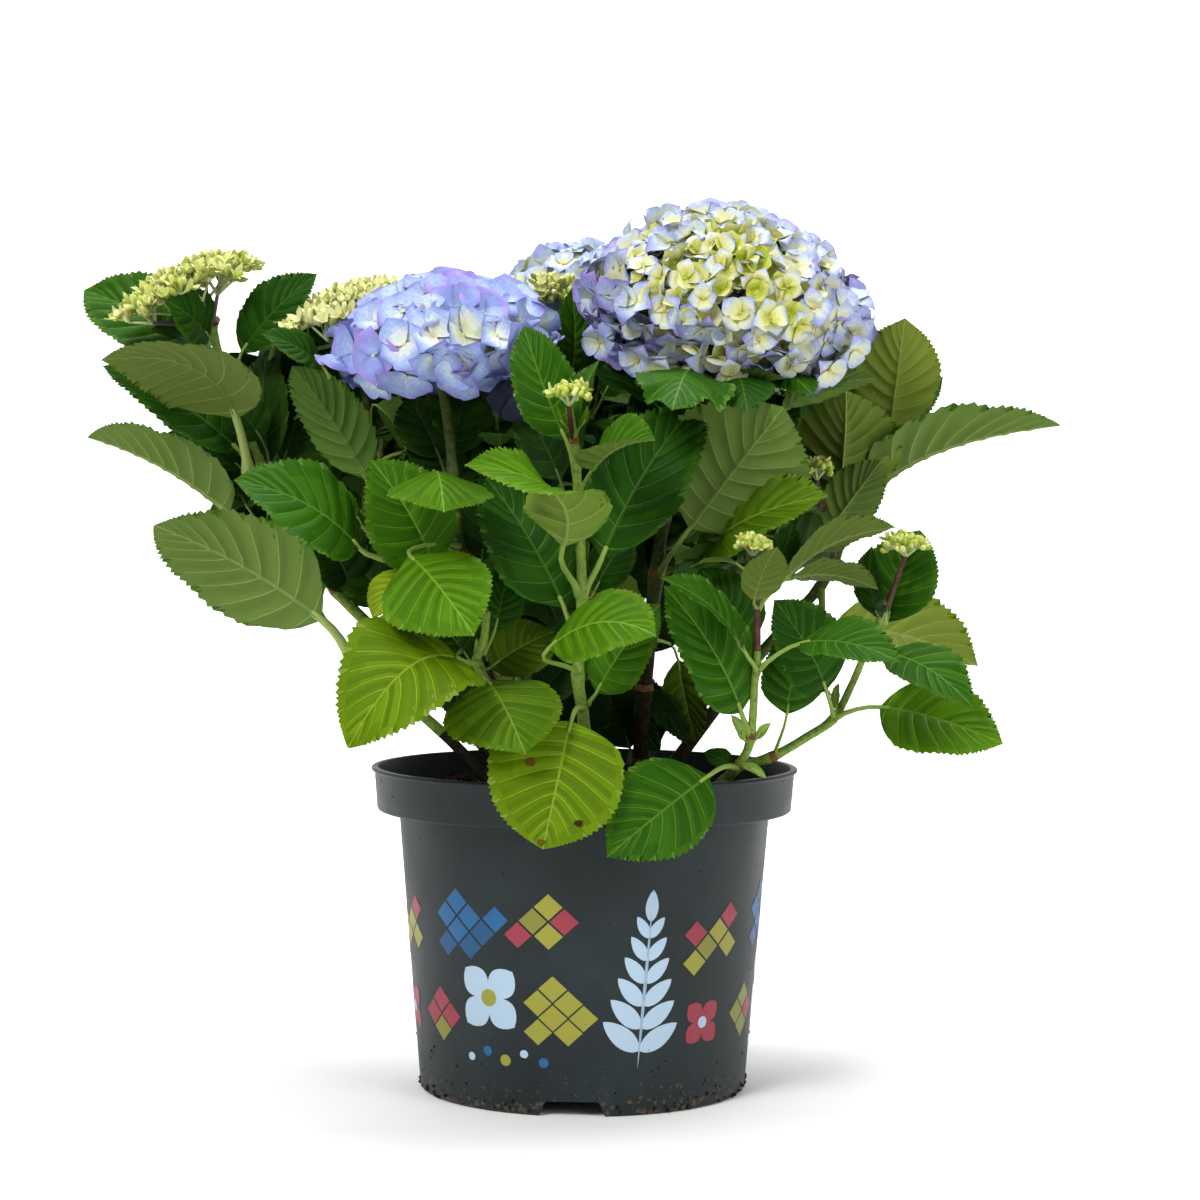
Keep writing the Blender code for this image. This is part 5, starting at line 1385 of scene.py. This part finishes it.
lip_low = LIP_Z - LIP_DEPTH
body_rows = [(body_r(z), z) for z in (0.012, 0.05, 0.10, BAND_LOW_Z - 0.004)]
pot = turned_mesh("pot_shell", rounded([
    (0.0, 0.0), (BOSS_R, 0.0), (BOSS_R + 0.003, FLOOR_Z - FLOOR_THICK), (FOOT_IN_R - 0.001, FLOOR_Z - FLOOR_THICK), (FOOT_IN_R, 0.0),
    (BASE_R - 0.0012, 0.0), (body_r(0.0012), 0.0012), *body_rows, (body_r(BAND_LOW_Z), BAND_LOW_Z - 0.0001), (BAND_LOW_R - 0.0008, BAND_LOW_Z),
    (BAND_LOW_R, BAND_LOW_Z + 0.0008), (band_r(0.160), 0.160), (band_r(lip_low), lip_low), (LIP_R, lip_low + 0.0003), (LIP_R, LIP_Z - 0.0006), (LIP_R - 0.0008, LIP_Z),
    (band_r(LIP_Z) - WALL, LIP_Z), (band_r(BAND_LOW_Z + WALL) - WALL, BAND_LOW_Z + WALL), (body_r(BAND_LOW_Z) - WALL, BAND_LOW_Z + WALL),
    (body_r(FLOOR_Z) - WALL, FLOOR_Z), (0.0, FLOOR_Z)]), 176)
cutters = []
for k in range(3):
    turn_a = math.radians(-93.5) + 2 * math.pi * k / 3
    along, across = np.array([math.cos(turn_a), math.sin(turn_a), 0]), np.array([-math.sin(turn_a), math.cos(turn_a), 0])
    ring = [(-0.0175, -0.001), (0.0175, -0.001), (0.0146, 0.0062), (0.0134, 0.0077), (0.0120, 0.0080), (-0.0120, 0.0080), (-0.0134, 0.0077), (-0.0146, 0.0062)]
    verts = [tuple(along * r + across * w + np.array([0, 0, z])) for r in (FOOT_IN_R - 0.004, BASE_R + 0.006) for w, z in ring]
    m = len(ring)
    faces = [tuple(range(m))[::-1], tuple(range(m, 2 * m))] + [(i, (i + 1) % m, m + (i + 1) % m, m + i) for i in range(m)]
    mesh = bpy.data.meshes.new(f"notch_{k}")
    mesh.from_pydata(verts, [], faces)
    mesh.update()
    cutter = bpy.data.objects.new(f"notch_{k}", mesh)
    bpy.context.scene.collection.objects.link(cutter)
    cutters.append(cutter)
    cut = pot.modifiers.new(f"notch_{k}", "BOOLEAN")
    cut.operation, cut.solver, cut.object = "DIFFERENCE", "EXACT", cutter
bpy.context.view_layer.update()
shell = bpy.data.meshes.new_from_object(pot.evaluated_get(bpy.context.evaluated_depsgraph_get()))
pot.modifiers.clear()
pot.data = shell
for cutter in cutters:
    bpy.data.objects.remove(cutter, do_unlink=True)
shell.shade_smooth()
shell.set_sharp_from_angle(angle=math.radians(38))


def pot_material():
    mat, tree, shader = new_material("pot_plastic")
    base = link_noise(tree, 22.0, 6.0, 0.62)
    ramp = tree.nodes.new("ShaderNodeValToRGB")
    for pos, code in ((0.30, "161d1f"), (0.50, "1c2527"), (0.62, "212a2c"), (0.74, "2b2f2e")):
        e = ramp.color_ramp.elements.new(pos)
        e.color = linear(code)
    ramp.color_ramp.elements.remove(ramp.color_ramp.elements[0])
    ramp.color_ramp.elements.remove(ramp.color_ramp.elements[-1])
    tree.links.new(base.outputs["Fac"], ramp.inputs["Fac"])
    # dried soil, more of it near the foot
    tc = tree.nodes.new("ShaderNodeTexCoord")
    sep = tree.nodes.new("ShaderNodeSeparateXYZ")
    tree.links.new(tc.outputs["Object"], sep.inputs["Vector"])
    low = tree.nodes.new("ShaderNodeMapRange")
    low.inputs["From Min"].default_value, low.inputs["From Max"].default_value = 0.028, 0.0
    low.inputs["To Min"].default_value, low.inputs["To Max"].default_value = 0.0, 0.22
    tree.links.new(sep.outputs["Z"], low.inputs["Value"])
    specks = link_noise(tree, 320.0, 3.0, 0.6)
    add = tree.nodes.new("ShaderNodeMath")
    add.operation = "ADD"
    tree.links.new(specks.outputs["Fac"], add.inputs[0])
    tree.links.new(low.outputs["Result"], add.inputs[1])
    gate = tree.nodes.new("ShaderNodeMapRange")
    gate.inputs["From Min"].default_value, gate.inputs["From Max"].default_value = 0.735, 0.80
    tree.links.new(add.outputs["Value"], gate.inputs["Value"])
    mix = tree.nodes.new("ShaderNodeMix")
    mix.data_type = "RGBA"
    tree.links.new(gate.outputs["Result"], mix.inputs["Factor"])
    tree.links.new(ramp.outputs["Color"], mix.inputs[6])
    dust = tree.nodes.new("ShaderNodeValToRGB")
    dust.color_ramp.elements[0].color, dust.color_ramp.elements[1].color = linear("4a3a2c"), linear("5c4a38")
    tree.links.new(base.outputs["Fac"], dust.inputs["Fac"])
    tree.links.new(dust.outputs["Color"], mix.inputs[7])
    tree.links.new(mix.outputs[2], shader.inputs["Base Color"])
    tree.links.new(ranged(tree, base.outputs["Fac"], 0.40, 0.58), shader.inputs["Roughness"])
    shader.inputs["Specular IOR Level"].default_value = 0.24
    fine = link_noise(tree, 900.0, 2.0)
    bumped(tree, shader, fine.outputs["Fac"], 0.10, 0.0004)
    return mat


pot.data.materials.clear()
pot.data.materials.append(pot_material())
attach(pot, "root")
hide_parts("pot")

# crumbs of soil stuck to the foot and rim of the pot, and the loose top of the compost
M_SOIL = mottled("compost_top", ("140d08", "22160d", "35241a"), 260.0, (0.85, 0.98), 0.9, 0.0012, 0.15)
M_FIBRE = mottled("compost_fibre", ("4a3421", "6d5237"), 200.0, (0.8, 0.95), 0.4, 0.0008, 0.15)
SOIL = Store("compost_bed", "compost")
SPECKS = Store("soil_specks", "compost")
rng = np.random.default_rng(91)


def crumb(store, centre, size, rng, mat):
    p = np.array([(0, 0, 1), (0.94, 0, 0.33), (-0.47, 0.82, 0.33), (-0.47, -0.82, 0.33), (0.47, 0.82, -0.33), (0.47, -0.82, -0.33), (-0.94, 0, -0.33), (0, 0, -1)], float)
    p = p * rng.uniform(0.6, 1.25, (8, 3)) * size
    q = Matrix.Rotation(rng.uniform(0, 6.28), 3, Vector(rng.normal(size=3))).to_3x3()
    p = p @ np.array(q).T + centre
    f = [(0, 1, 4, 2), (0, 2, 6, 3), (0, 3, 5, 1), (7, 4, 1, 5), (7, 6, 2, 4), (7, 5, 3, 6)]
    store.add(p, np.array(f), mat)


edge_r = band_r(0.1575) - WALL - 0.0004
rows, cols = 42, 150
rr = np.linspace(0, 1, rows)
verts, faces = [], []
for i, share in enumerate(rr):
    for j in range(cols):
        a = 2 * np.pi * j / cols
        r = share * edge_r
        x, y = r * math.cos(a), r * math.sin(a)
        z = 0.1582 + 0.0020 * noise.noise(Vector((x * 60, y * 60, 0.3))) + 0.0016 * noise.noise(Vector((x * 190, y * 190, 1.3))) + 0.0008 * noise.noise(Vector((x * 520, y * 520, 2.1)))
        z -= 0.0020 * share ** 6
        verts.append((x, y, z))
faces = [(i * cols + j, (i + 1) * cols + j, (i + 1) * cols + (j + 1) % cols, i * cols + (j + 1) % cols) for i in range(rows - 1) for j in range(cols)]
n0 = len(verts)
step_z, floor_in = BAND_LOW_Z + WALL + 0.0003, FLOOR_Z + 0.0003
for r, z in ((band_r(step_z) - WALL - 0.0004, step_z), (body_r(BAND_LOW_Z) - WALL - 0.0004, step_z), (body_r(FLOOR_Z) - WALL - 0.0004, floor_in)):
    for j in range(cols):
        a = 2 * np.pi * j / cols
        verts.append((r * math.cos(a), r * math.sin(a), z))
last = (rows - 1) * cols
for a0, b0 in ((last, n0), (n0, n0 + cols), (n0 + cols, n0 + 2 * cols)):
    faces += [(a0 + j, b0 + j, b0 + (j + 1) % cols, a0 + (j + 1) % cols) for j in range(cols)]
bottom = len(verts)
verts.append((0, 0, floor_in))
tris = [(n0 + 2 * cols + j, bottom, n0 + 2 * cols + (j + 1) % cols, -1) for j in range(cols)]
SOIL.add(np.array(verts), np.array(faces + tris), SOIL.mat(M_SOIL))
soil_id, fibre_id = SOIL.mat(M_SOIL), SOIL.mat(M_FIBRE)
for _ in range(900):
    a, r = rng.uniform(0, 6.28), edge_r * math.sqrt(rng.random()) * 0.985
    crumb(SOIL, np.array([r * math.cos(a), r * math.sin(a), 0.1590 + rng.uniform(-0.001, 0.0022)]), rng.uniform(0.0007, 0.0028), rng, soil_id)
for _ in range(170):
    a, r = rng.uniform(0, 6.28), edge_r * math.sqrt(rng.random()) * 0.93
    p = np.array([r * math.cos(a), r * math.sin(a), 0.1600 + rng.uniform(0, 0.002)])
    way = unit(rng.normal(size=3) * [1, 1, 0.25])
    long = rng.uniform(0.004, 0.012)
    q = p + way * long
    if np.hypot(q[0], q[1]) > edge_r:
        continue
    stalk(SOIL, p, q, rng.uniform(0.00018, 0.0004), 0.00015, fibre_id, 4, rng.uniform(-0.001, 0.002))
spec_id = SPECKS.mat(M_SOIL)
for _ in range(260):
    a = rng.uniform(0, 6.28)
    z = 0.0015 + 0.03 * rng.random() ** 2.6
    if z < 0.009 and abs((math.degrees(a) + 93.5 + 60) % 120 - 60) < 13:
        continue
    r = body_r(z) + 0.0001
    crumb(SPECKS, np.array([r * math.cos(a), r * math.sin(a), z]), rng.uniform(0.0003, 0.0011) * (1.25 if z < 0.008 else 0.8), rng, spec_id)
for _ in range(110):
    a, z = rng.uniform(0, 6.28), rng.uniform(0.02, 0.148)
    r = body_r(z) + 0.0001
    crumb(SPECKS, np.array([r * math.cos(a), r * math.sin(a), z]), rng.uniform(0.0002, 0.0005), rng, spec_id)
for _ in range(90):
    a, z = rng.uniform(0, 6.28), rng.uniform(0.1495, 0.170)
    r = band_r(z) + 0.0001
    crumb(SPECKS, np.array([r * math.cos(a), r * math.sin(a), z]), rng.uniform(0.0002, 0.0005), rng, spec_id)

# a printed band of plain motifs: dots, lozenges, a flower and a sprig
INK = Store("pot_print", "pot")
INKS = {n: soft_skin(f"ink_{n}", code, (0.42, 0.56), 300.0, 0.08, 0.0002, 0.4) for n, code in (
    ("blue", "0c5688"), ("blue_dark", "0b4672"), ("olive", "8c8a2c"), ("olive_dark", "787828"), ("red", "8c2c3c"), ("ice", "a2b9cc"), ("ice_dark", "84a0b6"))}


def patch(centre_a, z0, rows_of, ink, lift=0.00018):
    """A flat shape wrapped on the pot: rows of (height, left, right) measured in metres from its centre."""
    n = 7
    verts = []
    for dz, left, right in rows_of:
        for k in range(n):
            s = left + (right - left) * k / (n - 1)
            z = z0 + dz
            r = body_r(z) + lift
            a = centre_a + s / body_r(z)
            verts.append((r * math.cos(a), r * math.sin(a), z))
    faces = [(i * n + k, i * n + k + 1, (i + 1) * n + k + 1, (i + 1) * n + k) for i in range(len(rows_of) - 1) for k in range(n - 1)]
    INK.add(np.array(verts), np.array(faces), INK.mat(INKS[ink]))


def blade_shape(long, wide, lean, s0=0.0, z0=0.0, pointed=0.9, rows=12):
    """Rows of a leaf shape of that length standing at a lean from upright, in radians."""
    t = np.linspace(0, 1, rows)
    w = wide / 2 * np.sin(np.pi * t ** pointed) ** 0.75
    return t, w, long, lean, s0, z0


def blade_patch(centre_a, z_at, long, wide, lean, ink, s_off=0.0, z_off=0.0, lift=0.00018, pointed=0.85):
    t, w, *_ = blade_shape(long, wide, lean, pointed=pointed)
    n = 5
    verts = []
    for tt, ww in zip(t, w):
        for k in range(n):
            c = -1 + 2 * k / (n - 1)
            s = s_off + math.sin(lean) * long * tt + math.cos(lean) * ww * c
            z = z_at + z_off + math.cos(lean) * long * tt - math.sin(lean) * ww * c
            r = body_r(z) + lift
            a = centre_a + s / body_r(z)
            verts.append((r * math.cos(a), r * math.sin(a), z))
    faces = [(i * n + k, i * n + k + 1, (i + 1) * n + k + 1, (i + 1) * n + k) for i in range(len(t) - 1) for k in range(n - 1)]
    INK.add(np.array(verts), np.array(faces), INK.mat(INKS[ink]))


def disc_rows(radius, count=11):
    z = radius * np.sin(np.linspace(-np.pi / 2, np.pi / 2, count))
    w = np.sqrt(np.clip(radius ** 2 - z ** 2, 1e-12, None))
    return [(zz, -ww, ww) for zz, ww in zip(z, w)]


def lozenge_rows(wide, tall):
    return [(-tall / 2, -0.0001, 0.0001), (-tall / 4, -wide / 4, wide / 4), (0.0, -wide / 2, wide / 2), (tall / 4, -wide / 4, wide / 4), (tall / 2, -0.0001, 0.0001)]


def sprig(a, z, tall, ink, ink2, lean=0.0):
    blade_patch(a, z, tall, 0.0018, lean, ink2, pointed=1.0)
    for j in range(6):
        share = 0.12 + 0.14 * j
        s, dz = math.sin(lean) * tall * share, math.cos(lean) * tall * share
        size = tall * (0.30 - 0.028 * j)
        for hand in (-1, 1):
            blade_patch(a, z, size, size * 0.42, lean + hand * (0.95 - 0.07 * j), ink, s, dz)
    blade_patch(a, z, tall * 0.2, tall * 0.085, lean, ink, math.sin(lean) * tall * 0.92, math.cos(lean) * tall * 0.92)


def flower(a, z, size, ink, ink2):
    for j in range(4):
        blade_patch(a, z, size, size * 0.78, math.radians(45 + 90 * j), ink, pointed=1.15)
    patch(a, z, disc_rows(size * 0.22), ink2, 0.00030)


def lozenges(a0, z0, cells, inks, wide=0.0150, tall=0.0135, rng=np.random.default_rng(5)):
    for col, row in cells:
        s = (col + 0.5 * (row % 2)) * wide * 1.08
        patch(a0 + s / 0.094, z0 + row * tall * 0.56, lozenge_rows(wide, tall), inks[int(rng.integers(len(inks)))])


def front_angle(px):
    return math.radians(-90) + (px - 582) / 185.0 * 0.98


for repeat in range(3):
    turn_a = repeat * 2 * math.pi / 3
    lozenges(front_angle(424) + turn_a, 0.086, [(0, 0), (1, 0), (0, 1), (1, 1), (0, 2), (1, 2), (2, 2), (0, 3)], ("blue", "blue", "blue_dark"))
    lozenges(front_angle(406) + turn_a, 0.040, [(0, 0), (0, 1), (0, 2), (-1, 1)], ("red", "olive_dark"))
    flower(front_angle(478) + turn_a, 0.060, 0.0205, "ice", "olive")
    lozenges(front_angle(534) + turn_a, 0.044, [(0, 0), (1, 0), (0, 1), (1, 1), (0, 2), (1, 2), (0, 3)], ("olive", "olive", "olive_dark"))
    lozenges(front_angle(514) + turn_a, 0.094, [(0, 0), (1, 0), (0, 1), (1, 1), (1, 2)], ("olive", "olive_dark", "red"))
    sprig(front_angle(642) + turn_a, 0.024, 0.084, "ice", "ice_dark", 0.06)
    lozenges(front_angle(706) + turn_a, 0.078, [(0, 0), (0, 1), (1, 1), (0, 2), (1, 2), (1, 3)], ("olive", "olive_dark", "red"))
    flower(front_angle(722) + turn_a, 0.046, 0.0140, "red", "ice")
    for j in range(5):
        patch(front_angle(452 + 22 * j) + turn_a, 0.028 + 0.004 * (j % 2), disc_rows(0.0022 + 0.0004 * (j % 3)), ("ice", "blue", "olive")[j % 3])


PADS = ["pad_left_tip", "pad_left_upper", "pad_left_blade", "pad_left_broad", "pad_left_front", "pad_left_peak", "pad_low_left", "pad_low_mid",
        "pad_over_rim", "pad_over_rim_right", "pad_front_low", "pad_front_left", "pad_front_top", "pad_front_drop", "pad_front_right",
        "pad_front_upright", "pad_mid_right", "pad_right_long", "pad_right_tall", "pad_right_low", "pad_right_end", "pad_right_mid",
        "pad_right_front", "pad_bud_leaf"]
LEAVES.done(PADS)
INNER.done(list(MASSES))
STALKS.done(PADS)
STEMS.done([f"cane_{n}" for n in CANES])
BLOOM_CREAM.done(["great_head"])
BLOOM_BLUE.done(["blue_head", "back_head", "rear_head"])
BUDS.done(["lime_head_left", "lime_head_mid", "rear_lime_head"])
PEDICELS.done(["great_head", "blue_head", "back_head", "rear_head", "lime_head_left", "lime_head_mid", "rear_lime_head"])
SOIL.done(["compost"])
SPECKS.done(["pot"])
INK.done(["pot"])

# ================================================================ floor, light
stage_mat, tree, shader = new_material("studio_floor")
tex = link_noise(tree, 3.0, 3.0)
ramp = tree.nodes.new("ShaderNodeValToRGB")
ramp.color_ramp.elements[0].color, ramp.color_ramp.elements[1].color = linear("f6f6f5"), linear("f9f9f9")
tree.links.new(tex.outputs["Fac"], ramp.inputs["Fac"])
tree.links.new(ramp.outputs["Color"], shader.inputs["Base Color"])
tree.links.new(ranged(tree, tex.outputs["Fac"], 0.80, 0.90), shader.inputs["Roughness"])
shader.inputs["Specular IOR Level"].default_value = 0.15
profile = [(-4.0, 0.0), (1.6, 0.0)] + [(1.6 + 1.6 * math.sin(a), 1.6 - 1.6 * math.cos(a)) for a in np.linspace(0, math.pi / 2, 20)[1:]] + [(3.2, 6.0)]
verts = [(x, y, z) for y, z in profile for x in (-7.0, 7.0)]
mesh = bpy.data.meshes.new("studio_sweep")
mesh.from_pydata(verts, [], [(2 * i, 2 * i + 1, 2 * i + 3, 2 * i + 2) for i in range(len(profile) - 1)])
mesh.shade_smooth()
mesh.materials.append(stage_mat)
floor = bpy.data.objects.new("studio_sweep", mesh)
bpy.context.scene.collection.objects.link(floor)


def area(name, place, target, size, power, tint=(1, 1, 1)):
    lamp = bpy.data.lights.new(name, "AREA")
    lamp.shape, lamp.size, lamp.energy, lamp.color = "DISK", size, power, tint
    obj = bpy.data.objects.new(name, lamp)
    obj.location = place
    obj.rotation_mode = "QUATERNION"
    obj.rotation_quaternion = (Vector(target) - Vector(place)).to_track_quat("-Z", "Y")
    bpy.context.scene.collection.objects.link(obj)


area("key", (-1.1, -1.8, 1.9), (0, 0, 0.25), 0.9, 49)
area("fill", (1.7, -1.7, 1.1), (0, 0, 0.25), 1.2, 20)
area("top", (0.1, 0.1, 2.2), (0, 0, 0.2), 1.3, 26)
area("backdrop", (0.0, 1.0, 2.6), (0, 3.0, 0.9), 2.5, 95)
world = bpy.data.worlds.new("studio")
world.use_nodes = True
world.node_tree.nodes["Background"].inputs["Color"].default_value = (1, 1, 1, 1)
world.node_tree.nodes["Background"].inputs["Strength"].default_value = 0.32
bpy.context.scene.world = world
bpy.context.scene.view_settings.view_transform = "Standard"
